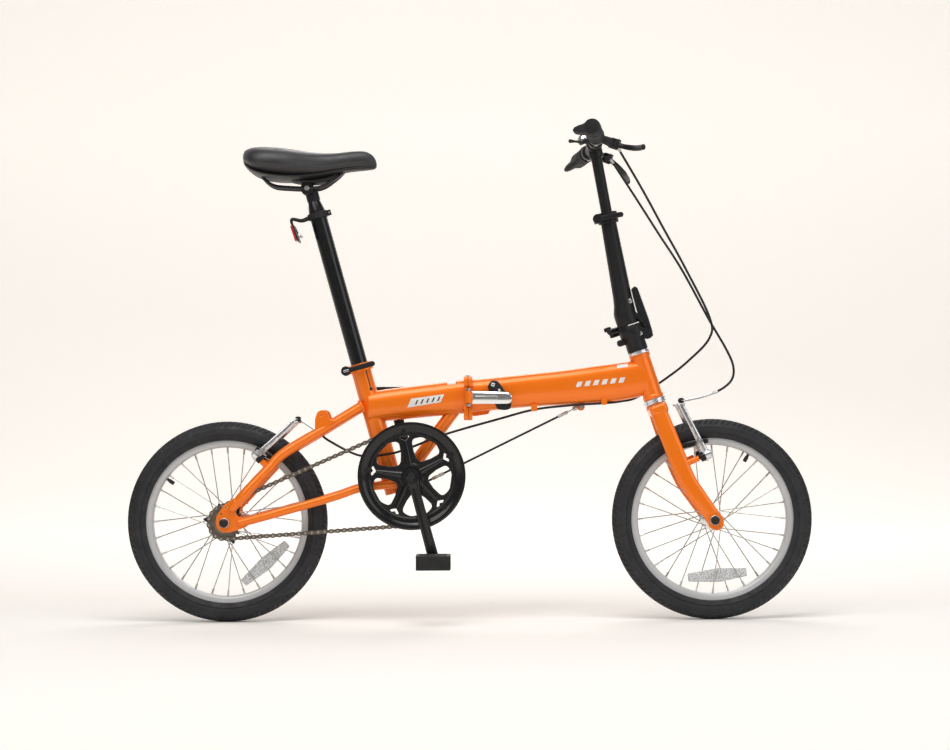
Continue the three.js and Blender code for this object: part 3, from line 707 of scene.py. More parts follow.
def spoke(centre, i):
    """One spoke with its bend in the flange and its nipple in the rim."""
    side = 1 if i % 2 == 0 else -1
    lead = 1 if i % 4 < 2 else -1
    rim_angle = TAU * i / SPOKES
    hub_angle = rim_angle + lead * TAU * 2 / (SPOKES / 2)

    def place(radius, angle, y):
        return centre + at(radius * math.cos(angle), y, radius * math.sin(angle))

    inner = place(FLANGE_R - 3, hub_angle, side * (FLANGE_Y + 2.4 * lead))
    outer = place(149.5, rim_angle, side * 3)
    along = (outer - inner).normalized()
    wire = pipe(
        [inner - SIDE * side * lead * 3, inner, inner + along * 3, outer - along * 5], 1.1, 8,
        UP.cross(along),
    )
    nipple = rod(outer - along * 13, outer, 1.9, 2.1, 8)
    return wire, nipple


def hub_shell(centre, right, left):
    profile = [
        (5.6, -right), (9, -right), (9.6, -right + 1), (11.5, -FLANGE_Y - 8), (12.5, -FLANGE_Y - 2),
        (21, -FLANGE_Y - 1.6), (22.3, -FLANGE_Y - 0.9), (22.3, -FLANGE_Y + 0.9), (21, -FLANGE_Y + 1.6),
        (13.5, -FLANGE_Y + 4), (11.6, -12), (11.2, 0), (11.6, 12), (13.5, FLANGE_Y - 4),
        (21, FLANGE_Y - 1.6), (22.3, FLANGE_Y - 0.9), (22.3, FLANGE_Y + 0.9), (21, FLANGE_Y + 1.6),
        (12.5, FLANGE_Y + 2), (11.5, FLANGE_Y + 8), (9.6, left - 1), (9, left), (5.6, left),
    ]
    return lathe(profile, centre, SIDE, 48, closed=True)


def wheel_reflector(centre, angle):
    """A long clear reflector with bowed edges, clipped between the spokes by a round boss."""
    out = Vector((math.cos(math.radians(angle)), math.sin(math.radians(angle))))
    along = Vector((-out.y, out.x))

    def lens_outline(grow):
        corners = [(-58, -8, 3), (0, -13, 60), (58, -8, 3), (58, 6, 3), (0, 13, 60), (-58, 6, 3)]
        place = Vector((centre.x, centre.z)) + out * 113
        line = []
        for u, w, radius in corners:
            spot = place + along * (u + math.copysign(grow, u)) + out * (w + math.copysign(grow, w))
            line.append((spot.x, spot.y, radius))
        return rounded(line, 6)

    lens = plate(lens_outline(0), -4.8, 4.8, edge=0.8)
    rim_of_lens = plate(lens_outline(1), -2.5, 2.5, edge=0.8)
    boss_at = centre + at(out.x * 113, 0, out.y * 113)
    boss = rod(boss_at - SIDE * 6.5, boss_at + SIDE * 6.5, 5.5, count=24)
    return [(lens, CLEAR), (rim_of_lens, CLEAR), (boss, CLEAR)]


def valve(centre, angle):
    out = Vector((math.cos(math.radians(angle)), 0, math.sin(math.radians(angle))))
    profile = [
        (0, 0), (3.2, 0.4), (4, 2), (4, 11), (3.4, 12), (3, 12), (3, 17), (3.6, 18), (3.6, 27), (0, 28),
    ]
    return lathe(profile, centre + out * 131, out, 16)


def wheel(name, centre, right, left, reflector_angle, valve_angle):
    body = f"{name}_wheel"
    piece(
        f"{body}_tyre_tread", body, same(TYRE, tyre(centre), *sidewall_lines(centre)),
        [f"{body}_tyre"],
    )
    piece(f"{body}_rim_shell", body, same(RIM, rim(centre)), [f"{body}_rim"])
    wires = [part for i in range(SPOKES) for part in spoke(centre, i)]
    piece(f"{body}_spokes", body, same(STEEL, *wires), [f"{body}_hub"])
    piece(f"{body}_hub_shell", body, same(SILVER, hub_shell(centre, right, left)))
    piece(
        f"{body}_reflector_lens", body, wheel_reflector(centre, reflector_angle),
        [f"{body}_reflector"],
    )
    piece(f"{body}_valve", body, same(PLASTIC, valve(centre, valve_angle)))


def axle_end(centre, side, y, capped):
    """Washer, nut and cap outside a dropout whose outer face is at y mm."""
    out = SIDE * side
    face = centre + out * y
    parts = [(lathe([(0, 0), (9.4, 0), (9.8, 0.5), (9.8, 1.8), (9, 2.3), (0, 2.3)], face, out, 32), STEEL)]
    parts.append((nut(face + out * 2.3, out, 15, 6), SATIN if capped else STEEL))
    if capped:
        dome = [(8.2, 2.4), (8.6, 3.2), (8.6, 8), (7.6, 10.8), (5, 12.4), (0, 13)]
        parts.append((lathe([(0, 2.4), *dome], face, out, 32), PLASTIC))
    else:
        dome = [(0, 8), (5.6, 8.2), (5.8, 10.5), (4, 13), (0, 13.8)]
        parts.append((lathe(dome, face, out, 24), SILVER))
    return parts


def axle(name, body, centre, y, capped):
    parts = [(rod(centre - SIDE * (y + 6), centre + SIDE * (y + 6), 4.9), STEEL)]
    for side in (-1, 1):
        parts += axle_end(centre, side, y, capped)
        cone = [(0, 0), (8.4, 0), (8.4, 3), (6.6, 5.6), (0, 5.6)]
        parts.append((lathe(cone, centre + SIDE * side * (y - 6.5), -SIDE * side, 24), STEEL))
    piece(f"{name}_wheel_nuts", body, parts, [f"{name}_wheel_axle"])


wheel("rear", rear_axle, 34, 50, -48.2, 144.7)
wheel("front", front_axle, 42, 42, -84.8, 60)
axle("rear", "rear_frame", rear_axle, 67.5, True)
axle("front", "fork", front_axle, 60.8, True)


# ---------- frames ----------
SEAT_TUBE_R = 20
SEAT_TUBE_TOP = at(-219, 0, 512)
HINGE_X = main_hinge.x


def main_tube(stations):
    """An upright oval tube through (x, z, width, height) stations."""
    rings = []
    for x, z, width, height in curve_points([Vector(s) for s in stations], 6):
        rings.append([at(x, y, z + up) for y, up in oval(width, height, 40, 0.8)])
    return skin(rings, sharp=60)


def weld(centre, axis, radius):
    """A smooth fillet of weld metal around a tube's end."""
    profile = [(radius + 2.6 * math.cos(a), 2.6 * math.sin(a)) for a in (TAU * k / 10 for k in range(10))]
    bead = lathe(profile, Vector(), UP, 48, closed=True)
    bead.data.transform(axis.to_track_quat("Z", "Y").to_matrix().to_4x4())
    bead.data.transform(Matrix.Translation(centre * MM))
    return bead


SEAT_STAY = (
    (-470, 66, 226), (-440, 66, 259), (-418, 60, 283), (-396, 49, 306), (-367, 42, 336), (-290, 33, 382),
    (-212, 21, 429),
)
CHAIN_STAY = (
    (-455, 64, 199), (-400, 58, 213), (-300, 38, 240), (-259, 29, 252), (-215, 27, 266), (-150, 25, 273),
    (-118, 24, 276),
)


def side_points(controls, side, steps=8):
    return curve_points([at(x, side * y, z) for x, y, z in controls], steps)


def dropout(side):
    """The rear axle plate: two arms that meet the stays around a scalloped web with two eyelets."""
    outline = [
        (-500, 200, 8), (-497, 189, 8), (-487, 181, 8), (-472, 181, 10), (-452, 187, 6), (-437, 193, 2),
        (-436, 208, 2), (-450, 210, 8), (-459, 215, 9), (-461, 224, 9), (-452, 238, 3), (-464, 249, 3),
        (-484, 234, 8), (-498, 214, 8),
    ]
    holes = [hole(-478, 230.5, 1.9, 16), hole(-489, 217.5, 1.9, 16)]
    return plate(rounded(outline, 5), side * 64 - 3, side * 64 + 3, holes, edge=0.6)


def rack_tab(side):
    outline = [
        (-306, 376, 3), (-305, 405, 9), (-300, 418, 9), (-290, 422, 9), (-281, 417, 8), (-276, 402, 6),
        (-262, 398, 3),
    ]
    return plate(rounded(outline, 6), side * 39 - 3, side * 39 + 3, [hole(-293, 411, 2.7)], edge=0.8)


def brake_boss(base, direction, length):
    return rod(base, base + direction.normalized() * length, 6.4, 5.8, 24)


REAR_TUBE = ((-200, 426, 50, 62), (-160, 430.6, 50, 64), (-80, 439, 50, 66), (HINGE_X - 5, 446.5, 50, 68))


def hinge_plate(x0, x1):
    """One flange of the main hinge, with its pin lobe on the left and room for the latch on the right."""
    lobe = [(33, 412, 4), (47, 414, 9), (52, 443, 9), (47, 471, 9), (33, 473, 4)]
    recess = [(-35, 467, 3), (-29, 465, 3), (-29, 425, 3), (-35, 423, 3)]
    outline = [(-35, 399, 7), (33, 399, 9), *lobe, (33, 486, 9), (-35, 486, 11), *recess]
    turn = Matrix(((0, 1, 0, 0), (1, 0, 0, 0), (0, 0, 1, 0), (0, 0, 0, 1)))
    flange = plate(rounded(outline, 8), x0, x1, edge=1.2)
    flange.data.transform(turn)
    flange.data.flip_normals()
    return flange


def rear_frame():
    seat_low = SEAT_TUBE_TOP - seat_dir * 267
    profile = [(SEAT_TUBE_R, 0), (SEAT_TUBE_R, 267), (17.4, 267), (17.4, 0)]
    parts = [lathe(profile, seat_low, seat_dir, 64, closed=True)]
    parts.append(main_tube(REAR_TUBE))
    parts.append(hinge_plate(HINGE_X - 8.6, HINGE_X - 0.4))
    shell_profile = [(20.5, -34), (21.2, -33), (21.2, 33), (20.5, 34), (15, 34), (15, -34)]
    parts.append(lathe(shell_profile, crank_centre, SIDE, 64, closed=True))
    parts.append(pipe([at(-20, 0, 432), at(-62, 0, 376), at(-85, 0, 345.5), at(-112, 0, 309)], 12.5, 40))
    gusset = [
        (-150, 262, 6), (-118, 268, 6), (-102, 276, 6), (-124, 306, 6), (-142, 300, 6), (-170, 300, 6),
    ]
    parts.append(plate(rounded(gusset, 6), -21, -17))
    parts.append(plate(rounded(gusset, 6), 17, 21))
    parts.append(rod(at(-262, -30, 399), at(-262, 30, 399), 6, count=24))
    for side in (-1, 1):
        parts.append(pipe(side_points(SEAT_STAY, side), lambda t: 10.3 - 1.5 * max(0, 0.12 - t) / 0.12, 28))
        parts.append(pipe(side_points(CHAIN_STAY, side), 8.6, 28))
        parts.append(dropout(side))
        parts.append(rack_tab(side))
        parts.append(brake_boss(at(-396, side * 49, 306), at(-1, 0, 1), 23))
        parts.append(weld(at(-214, side * 20.5, 428.5), at(153, -side * 20, 92).normalized(), 10.5))
        parts.append(weld(at(-458, side * 64, 240), at(30, 0, 33).normalized(), 9.4))
    parts.append(weld(at(-112, 0, 309), at(26, 0, 36).normalized(), 12.6))
    piece("rear_frame_tubes", "rear_frame", same(ORANGE, *parts), ["rear_frame"])


def slot_in_seat_tube():
    """The keyhole slot that lets the seat tube close on the post, on its front right, drawn as a thin dark
    strip and disc on the tube's face: partly the black post seen through the opening, partly painted shade
    inside it.
    """
    forward = forward_of(seat_dir) * 0.5 - SIDE * 0.866
    face = SEAT_TUBE_TOP + forward * (SEAT_TUBE_R + 0.1)
    # Dark strip and eye in place of an opening: partly the black post behind the slot, partly painted shade
    # in the gap.
    slit = block(face - seat_dir * 32, (0.5, 2.6, 44), 0.2, facing(forward, seat_dir))
    eye = lathe([(0, 0), (3.4, 0), (3.4, 0.4), (0, 0.4)], face - seat_dir * 54 - forward * 0.1, forward, 20)
    piece("seat_tube_slot", "rear_frame", same(SHOE, slit, eye))


def seat_clamp():
    low = SEAT_TUBE_TOP - seat_dir * 15
    forward = forward_of(seat_dir)
    profile = [
        (20.1, 0), (24, 0), (24.6, 0.8), (24.6, 14.8), (24, 15.6), (17.6, 15.6), (17.6, 14), (20.1, 14),
    ]
    ears = [
        block(low + seat_dir * 7.5 - forward * 26 + SIDE * y, (13, 8, 14), 2, facing(forward, seat_dir))
        for y in (-7, 7)
    ]
    piece(
        "seat_clamp_band", "rear_frame",
        same(ORANGE, lathe(profile, low, seat_dir, 64, closed=True), *ears), ["seat_clamp"],
    )
    bolt = low + seat_dir * 7.5 - forward * 28
    bar = rod(bolt - SIDE * 24, bolt + SIDE * 15, 2.6)
    tip = nut(bolt + SIDE * 12, SIDE, 11, 6)
    piece("seat_clamp_bolt", "rear_frame", same(STEEL, bar, tip))


def quick_release(name, node, dir_axis, reach, inlay):
    """A cam lever: a round head on the bolt and a straight paddle forward of it."""
    forward = forward_of(dir_axis)
    pin = pivot(name)
    outer = pin - SIDE * 2
    head = lathe(
        [(0, 0), (8.5, 0), (9.6, 1.2), (9.6, 11), (8.6, 12.4), (0, 12.8)], outer + SIDE * 8, -SIDE, 32,
    )
    spine = [
        outer + forward * 4, outer + forward * 0.35 * reach - SIDE * 2.5,
        outer + forward * 0.7 * reach - SIDE * 3.5, outer + forward * reach - SIDE * 1.5,
    ]

    def section(share):
        width = 9.4 + 1.4 * share
        thick = 5.6 - 2.0 * share
        end = 1 if share < 0.9 else math.sqrt(max(0.05, 1 - ((share - 0.9) / 0.1) ** 2))
        return [(a * end, b * end) for a, b in oval(thick, width, 20, 0.7)]

    paddle = sweep(curve_points(spine, 8), section)
    parts = same(SATIN, head, paddle)
    if inlay:
        bright = block(outer - SIDE * 4.8 + forward * 1, (11, 1.2, 4.6), 0.5, facing(forward, dir_axis), 3)
        parts += same(CHROME, bright)
    piece(node + "_paddle", node, parts, [node])


FRONT_TUBE = (
    (HINGE_X + 5, 446.5, 50, 68), (40, 450.5, 50, 66), (122, 458.2, 49, 66.6), (192, 463.5, 48, 70),
    (262, 469.5, 46, 76.5), (322, 477.4, 42, 75), (354, 483.5, 38, 72),
)


def front_frame():
    parts = [main_tube(FRONT_TUBE), hinge_plate(HINGE_X + 0.4, HINGE_X + 8.6)]
    foot = head_top - steer_dir * 93.2
    head = [
        (15.2, 0), (20.6, 0), (21, 1.4), (21, 6), (19.6, 8.4), (19.5, 84), (21, 86.4), (21, 91.8),
        (20.6, 93.2), (15.2, 93.2),
    ]
    parts.append(lathe(head, foot, steer_dir, 64, closed=True))
    rib = [(4, 426, 1), (5, 408, 3), (12, 407, 3), (38, 411, 3), (41, 416, 2), (44, 428, 1)]
    parts.append(plate(rounded(rib, 3), -3, 3, edge=0.8))
    for x, y, z in ((129.5, -14.5, 419.5), (269, -14.5, 431.5)):
        outline = [(x - 6, z + 11, 1), (x - 6, z - 4, 3), (x + 6, z - 3, 3), (x + 6, z + 12, 1)]
        parts.append(plate(rounded(outline, 2), y - 5.5, y + 5.5, edge=0.9))
    parts.append(rod(at(223, -9, 424.5), at(223, 9, 424.5), 7.6, count=32, edge=1.2))
    neck = [(215, 436, 1), (217, 425, 2), (229, 425, 2), (231, 438, 1)]
    parts.append(plate(rounded(neck, 2), -6, 6, edge=0.8))
    bolt = [hex_socket(at(223, side * 10, 424.5), SIDE * side, 4.2) for side in (-1, 1)]
    piece("tension_cable_bolt", "front_frame", same(STEEL, *bolt))
    piece("front_frame_tubes", "front_frame", same(ORANGE, *parts), ["front_frame"])


def headset():
    for name, start, length in (("headset_upper", 0.3, 6.6), ("headset_lower", -103.5, 10)):
        base = head_top + steer_dir * start
        ring = [
            (15.2, 0), (22.6, 0), (23.3, 0.8), (23.3, 3.4), (22.4, 4.2), (22.4, 5), (23, 5.6),
            (23, length - 0.8), (22.2, length), (15.2, length),
        ]
        piece(
            f"{name}_cup", "front_frame",
            same(SILVER, lathe(ring, base, steer_dir, 64, closed=True)), [name],
        )


def main_hinge_pin():
    pin = rod(at(HINGE_X, 45, 398.5), at(HINGE_X, 45, 486.5), 4)
    cap_low = lathe([(0, 0), (6.5, 0), (6.5, 2), (5, 3.4), (0, 3.6)], at(HINGE_X, 45, 486), UP, 24)
    piece("main_hinge_pin", "rear_frame", same(STEEL, pin, cap_low), ["frame_hinge_pin"])


rear_frame()
slot_in_seat_tube()
seat_clamp()
quick_release("seat_clamp_open", "seat_clamp_lever", seat_dir, 60, True)
front_frame()
headset()
main_hinge_pin()


# ---------- fork and handlepost ----------
POST_START = at(313, 0, 615)
STEER_FORWARD = forward_of(steer_dir)
POST_FORWARD = forward_of(post_dir)
parting = at(320, 0, 587)
fold_pin = pivot("handlepost_fold")
fold_axis = -axis_of("handlepost_fold")
fold_out = fold_axis.cross(steer_dir)
FORK_BLADE = (
    (374, 29, 424), (379, 33, 408), (393, 40, 370), (412, 46, 320.5), (431.7, 50, 275.6),
    (455.3, 53, 240.5), (477.5, 54, 208.5), (487, 54, 192),
)


def between(pairs):
    """A function of a share that runs straight between (share, value) pairs."""

    def value(share):
        for (s0, v0), (s1, v1) in zip(pairs, pairs[1:]):
            if share <= s1:
                return v0 + (v1 - v0) * (share - s0) / (s1 - s0)
        return pairs[-1][1]

    return value


def fork():
    crown_top = head_top - steer_dir * 104.7
    turn = facing(STEER_FORWARD, steer_dir)
    parts = [block(crown_top - steer_dir * 12, (37, 84, 23), 8, turn, 5)]
    parts.append(
        lathe([(0, 0), (19, 0), (19.6, -1), (22, -8), (0, -8)], crown_top + steer_dir * 0.6, steer_dir, 48)
    )
    height = between([(0, 30), (0.15, 33), (0.4, 36), (0.7, 33), (0.92, 30), (1, 27)])
    thick = between([(0, 18), (0.7, 15), (0.9, 10), (1, 7)])
    for side in (-1, 1):
        path = side_points(FORK_BLADE, side, 8)
        parts.append(sweep(path, lambda t: oval(thick(t), height(t), 32, 0.72)))
        tip = [(469, 213, 4), (470, 186, 9), (487, 178, 9), (500, 186, 9), (501, 203, 8), (489, 218, 6)]
        parts.append(plate(rounded(tip, 8), side * 57 - 3.6, side * 57 + 3.6, edge=1))
        parts.append(brake_boss(at(428, side * 48, 311), at(32, 0, 13.5), 28))
    piece("fork_blades", "fork", same(ORANGE, *parts), ["fork"])


def hinge_bolt(centre, axis, radius, length):
    """A shaft with a button head on each end."""
    half = axis * length / 2
    head = [(0, 0), (radius * 1.7, 0), (radius * 1.8, 0.6), (radius * 1.5, 2), (0, 2.6)]
    return [
        rod(centre - half, centre + half, radius),
        lathe(head, centre + half, axis, 24),
        lathe(head, centre - half, -axis, 24),
    ]


def handlepost_base():
    foot = head_top + steer_dir * 10.4
    profile = [
        (15, -3.6), (20.4, -3.6), (20.8, -3), (20.6, 20), (21.6, 23), (24.6, 26), (25.4, 29), (25.4, 48.6),
        (24.6, 50), (0, 50),
    ]
    turn = facing(STEER_FORWARD, steer_dir)
    parts = [lathe(profile, foot, steer_dir, 64)]
    parts.append(rod(fold_pin - fold_axis * 16, fold_pin + fold_axis * 16, 5.8))
    parts.append(
        block(fold_pin - fold_out * 8 - steer_dir * 7, (30, 12, 12), 2.5, facing(fold_axis, steer_dir))
    )
    for y in (-6.5, 6.5):
        parts.append(block(foot + steer_dir * 22 - STEER_FORWARD * 26 + SIDE * y, (18, 8, 13), 4, turn))
        lug = [(336, 563, 3), (361, 559.5, 7), (369, 567, 7), (362, 577, 5), (340, 584, 3)]
        parts.append(plate(rounded(lug, 4), y * 2.4 - 2.4, y * 2.4 + 2.4, edge=0.8))
    bolt = foot + steer_dir * 22 - STEER_FORWARD * 30
    parts += [rod(bolt - SIDE * 13, bolt + SIDE * 11, 5.4), nut(bolt - SIDE * 13, -SIDE, 7.4, 2)]
    screw = lathe([(0, 0), (4.2, 0), (4.2, 1.6), (3.4, 2.4), (0, 2.6)], at(342.4, -18.6, 570.4), -SIDE, 24)
    skin_parts = same(SATIN, *parts) + same(SILVER, screw)
    piece("handlepost_base_block", "fork", skin_parts, ["handlepost_base"])
    pins = hinge_bolt(fold_pin, fold_axis, 3.2, 54)
    piece("handlepost_fold_pin", "fork", same(SATIN, *pins), ["handlepost_hinge_pin"])


def handlepost():
    start = parting + steer_dir * 1
    lower = [start, start + steer_dir * 1.2, start + steer_dir * 19, start + steer_dir * 25]
    upper = [POST_START + post_dir * t for t in (12, 20, 30, 50, 90, 130, 170, 196, 199)]
    sizes = (
        (0, 22.4), (0.01, 23), (0.08, 23), (0.12, 22), (0.16, 20.6), (0.26, 18.8), (0.985, 15.2), (1, 14.6),
    )
    size = between(sizes)
    path = lower + upper
    total = sum((b - a).length for a, b in zip(path, path[1:]))
    shares = [
        sum((b - a).length for a, b in zip(path[:k], path[1 : k + 1])) / total
        for k in range(len(path))
    ]
    rings = []
    for point, tangent, share in zip(path, tangents(path), shares):
        across = tangent.cross(SIDE).normalized()
        rings.append([point + (SIDE * a + across * b) for a, b in circle(size(share), 48)])
    parts = [skin(rings)]
    for side in (-1, 1):
        ear = fold_pin + fold_axis * side * 21.5
        parts.append(rod(ear - fold_axis * 4.6, ear + fold_axis * 4.6, 5.8))
        parts.append(
            block(ear - fold_out * 7 + steer_dir * 6, (9, 15, 9), 2.5, facing(fold_axis, steer_dir))
        )
    catch = start + STEER_FORWARD * 24 + steer_dir * 13
    parts.append(block(catch, (10, 20, 9), 2.5, facing(STEER_FORWARD, steer_dir)))
    rivet = lathe(
        [(0, 0), (4.4, 0), (4.4, 1.8), (3.4, 2.6), (1.9, 2.6), (1.7, 1), (0, 1)], at(322, -15, 635), -SIDE,
        24,
    )
    skin_parts = same(SATIN, *parts) + same(SILVER, rivet)
    piece("handlepost_lower_tube", "handlepost", skin_parts, ["handlepost"])


def handlepost_clamp():
    """The collar that grips the inner post, with two ears and their bolt."""
    top = POST_START + post_dir * 179
    ring = [
        (15.8, 0), (19.6, 0), (20.4, 0.8), (20.4, 21), (19.6, 22), (13, 22.6), (11.4, 22.2), (11.4, 20.4),
        (15.8, 20),
    ]
    ears = [
        block(
            top + post_dir * 11 - POST_FORWARD * 21 + SIDE * y, (14, 8, 15), 2.2,
            facing(POST_FORWARD, post_dir),
        )
        for y in (-7, 7)
    ]
    piece(
        "handlepost_clamp_band", "handlepost",
        same(SATIN, lathe(ring, top, post_dir, 64, closed=True), *ears), ["handlepost_collar"],
    )
    bolt = top + post_dir * 11 - POST_FORWARD * 22
    rods = [rod(bolt - SIDE * 20, bolt + SIDE * 14, 2.6), nut(bolt + SIDE * 11, SIDE, 11, 6)]
    piece("handlepost_clamp_bolt", "handlepost", same(STEEL, *rods))


def handlepost_latch():
    """The long lever that locks the handlepost's hinge, with its hooks and its pin's two screws."""
    outline = [
        (352, 560, 4), (361, 562, 6), (367.5, 573, 5), (359.5, 600, 20), (337.5, 662, 4), (331, 665, 3),
        (325.5, 659, 3), (336, 618, 20), (344, 596, 6), (350, 578, 8),
    ]
    blade = plate(rounded(outline, 5), -11, 11, edge=2.2)
    hook = [(351, 598, 2), (333, 612, 3), (330, 606, 3), (346, 590, 3)]
    hooks = [plate(rounded(hook, 3), y - 2, y + 2, edge=0.7) for y in (-13.4, 13.4)]
    profile = [(0, 0), (4.4, 0), (4.4, 1), (3.2, 2.2), (1.6, 2.4), (1.4, 1.4), (0, 1.4)]
    screws = [lathe(profile, at(359, side * 15, 568), SIDE * side, 20) for side in (-1, 1)]
    screws.append(rod(at(359, -15, 568), at(359, 15, 568), 2.6))
    parts = same(SATIN, blade, *hooks) + same(STEEL, *screws)
    piece(
        "handlepost_latch_blade", "handlepost_latch_lever", parts,
        ["handlepost_latch_lever"],
    )


fork()
handlepost_base()
handlepost()
handlepost_clamp()
handlepost_latch()
quick_release("handlepost_clamp_open", "handlepost_clamp_lever", post_dir, 52, False)


# ---------- handlebar ----------
BAR_HALF = 278
bar_centre = POST_START + post_dir * 339.3
bar_x, bar_z = bar_centre.x, bar_centre.z


def bar_point(y):
    sweep_back = max(0, abs(y) - 80)
    return at(bar_x - 19 * (sweep_back / 198) ** 1.2, y, bar_z)


def bar_line(y0, y1, steps=12):
    low, high = min(y0, y1), max(y0, y1)
    return [bar_point(low + (high - low) * i / steps) for i in range(steps + 1)]


def handlebar():
    foot = POST_START + post_dir * 96
    bar = pipe(
        bar_line(-BAR_HALF, BAR_HALF, 60),
        lambda t: 11 + 1.7 * max(0, min(1, (36 - abs(t - 0.5) * 556) / 12)), 32, FORWARD,
    )
    tube = rod(foot, bar_centre - post_dir * 6, 11, count=40)
    collar = lathe(
        [(11, 0), (14.2, 0.4), (14.6, 2), (14.6, 18), (12, 24), (11, 24)], bar_centre - post_dir * 27,
        post_dir, 40, closed=True,
    )
    joint = lathe(
        [(11, 0), (15.4, 0.6), (15.8, 2), (15.8, 34), (15.4, 35.4), (11, 36)], bar_point(-18), SIDE, 48,
        closed=True,
    )
    piece(
        "handlebar_tube", "handlebar", same(SATIN, bar, tube, collar, joint), ["handlebar"],
    )


def grip(name, side):
    """A soft grip that widens into a palm rest towards its end."""
    droop = math.radians(36 if side > 0 else 9)
    line = bar_line(side * 150, side * 281, 66)

    def section(share):
        outer = share if side > 0 else 1 - share
        flare = max(0.0, min(1.0, (outer - 0.32) / 0.45))
        flare = flare * flare * (3 - 2 * flare)
        ridge = 0.45 * math.sin(TAU * outer * 34) if 0.06 < outer < 0.9 else 0
        end = 1 if outer < 0.965 else 0.9
        collar = 1.6 if outer < 0.04 else 0
        points = []
        for i in range(48):
            angle = TAU * i / 48
            away = (angle + droop + math.pi) % TAU - math.pi
            wing = 21.5 * flare * math.exp(-((away / 0.34) ** 2))
            radius = (15.8 + ridge + collar + wing) * end
            points.append((radius * math.cos(angle), radius * math.sin(angle)))
        return points

    body = sweep(line, section, side=-FORWARD, sharp=60)
    end_point = bar_point(side * 281)
    plug = lathe([(0, 0), (10.5, 0), (11, 0.6), (10, 2.4), (0, 3)], end_point, SIDE * side, 32)
    piece(
        f"grip_{name}_sleeve", "handlebar", [(body, GRIP), (plug, PLASTIC)],
        [f"grip_{name}"],
    )


def brake_perch(name, side):
    """The lever bracket: clamp, body, adjuster and its bolts."""
    lever_pin = pivot(f"brake_lever_{name}_squeeze")
    lever_up = axis_of(f"brake_lever_{name}_squeeze") * side
    clamp_at = bar_point(side * 117)
    along = (bar_point(side * 134) - clamp_at).normalized()
    ring = [(11.4, 0), (15, 0), (15.8, 0.8), (15.8, 15.4), (15, 16.2), (11.4, 16.2)]
    reach = (lever_pin - clamp_at).normalized()
    start = clamp_at + along * 8
    path = curve_points([start + reach * 8, start + reach * 22, lever_pin - reach * 9], 8)
    width = between([(0, 15), (0.5, 13), (1, 14)])
    body = sweep(path, lambda t: oval(width(t), 15 + 4 * t, 24, 0.75), side=SIDE)
    plates = [
        block(lever_pin + lever_up * s * 8.6 - reach * 3, (19, 14, 3), 1.2, facing(reach, lever_up))
        for s in (-1, 1)
    ]
    parts = same(PLASTIC, lathe(ring, clamp_at, along, 40, closed=True), body, *plates)
    inward = (at(294, side * 104, 930) - (lever_pin - reach * 10)).normalized()
    knurl = [(0, 0), (3.4, 0), (3.4, 5), (5, 6), (5, 14), (4.2, 15), (3.2, 15), (3, 20), (0, 20)]
    parts.append((lathe(knurl, lever_pin - reach * 11, inward, 20), PLASTIC))
    parts.append((hex_socket(lever_pin + lever_up * 10, lever_up, 4.6), SILVER))
    parts.append((hex_socket(clamp_at + along * 8 - UP * 16, -UP, 4), STEEL))
    piece(f"brake_perch_{name}_bracket", "handlebar", parts, [f"brake_perch_{name}"])


def brake_lever(name, side):
    pin = pivot(f"brake_lever_{name}_squeeze")
    up = axis_of(f"brake_lever_{name}_squeeze")
    droop = 22 if side > 0 else 0
    places = ((306, 128, 929, 0.3), (322, 150, 924, 0.7), (330, 178, 921, 0.9), (336, 205, 919, 1))
    controls = [pin, *(at(x, side * y, z - share * droop) for x, y, z, share in places)]
    width = between([(0, 11), (0.2, 10), (0.5, 12), (0.9, 13), (0.97, 11), (1, 6)])
    thick = between([(0, 9), (0.3, 6.5), (0.95, 5), (1, 3)])
    blade = sweep(curve_points(controls, 10), lambda t: oval(width(t), thick(t), 24, 0.75), side=up)
    eye = rod(pin - up * 6.6, pin + up * 6.6, 7.2)
    tip = ball(at(335.6, side * 204, 919.2 - droop), 5.6, (0.8, 1, 1.05))
    piece(
        f"brake_lever_{name}_blade", f"brake_lever_{name}",
        same(SATIN, blade, eye, tip), [f"brake_lever_{name}"],
    )


def bell():
    clamp_at = bar_point(-67)
    ring = [(11.6, 0), (14, 0), (14.6, 0.6), (14.6, 9.4), (14, 10), (11.6, 10)]
    up = at(-0.42, 0, 0.9).normalized()
    seat = at(231, -62, 949)
    dome = [
        (1, 14), (5, 13.4), (9.4, 11), (12.4, 7.2), (13.6, 3), (13.8, 0), (13, 0), (12.8, 3), (11.6, 6.6),
        (8.8, 10.2), (4.8, 12.4), (1, 13),
    ]
    parts = [(lathe(ring, clamp_at, SIDE, 40, closed=True), PLASTIC)]
    parts.append((pipe([at(244, -62, 949), at(237, -62, 949), at(231, -62, 949)], 6, 20), PLASTIC))
    parts.append((lathe([(0, -4), (11.5, -4), (12.4, -3), (12.4, 0.5), (0, 0.5)], seat, up, 36), PLASTIC))
    parts.append((lathe(dome, seat + up * 1.5, up, 48, closed=True), CHROME))
    parts.append((ball(seat + up * 15.6, 2), STEEL))
    piece("bell_dome", "handlebar", parts, ["bell"])
    hammer = pipe(
        curve_points([at(226, -79, 944), at(214, -79, 946), at(202, -79, 947)], 4),
        between([(0, 3.4), (0.6, 2.2), (1, 4)]), 16,
    )
    piece(
        "bell_hammer", "bell_striker", same(PLASTIC, hammer, ball(at(202, -79, 947), 4)),
        ["bell_striker"],
    )


handlebar()
bell()
for word, sign in LEFT_RIGHT:
    grip(word, sign)
    brake_perch(word, sign)
    brake_lever(word, sign)


# ---------- cranks, chain and pedals ----------
CHAIN_Y = -46
PITCH = 12.7
RING_TEETH = 48
SPROCKET_TEETH = 16
ARM_TURNS = [math.radians(100 - 72 * k) for k in range(5)]


def pitch_radius(teeth):
    return PITCH / (2 * math.sin(math.pi / teeth))


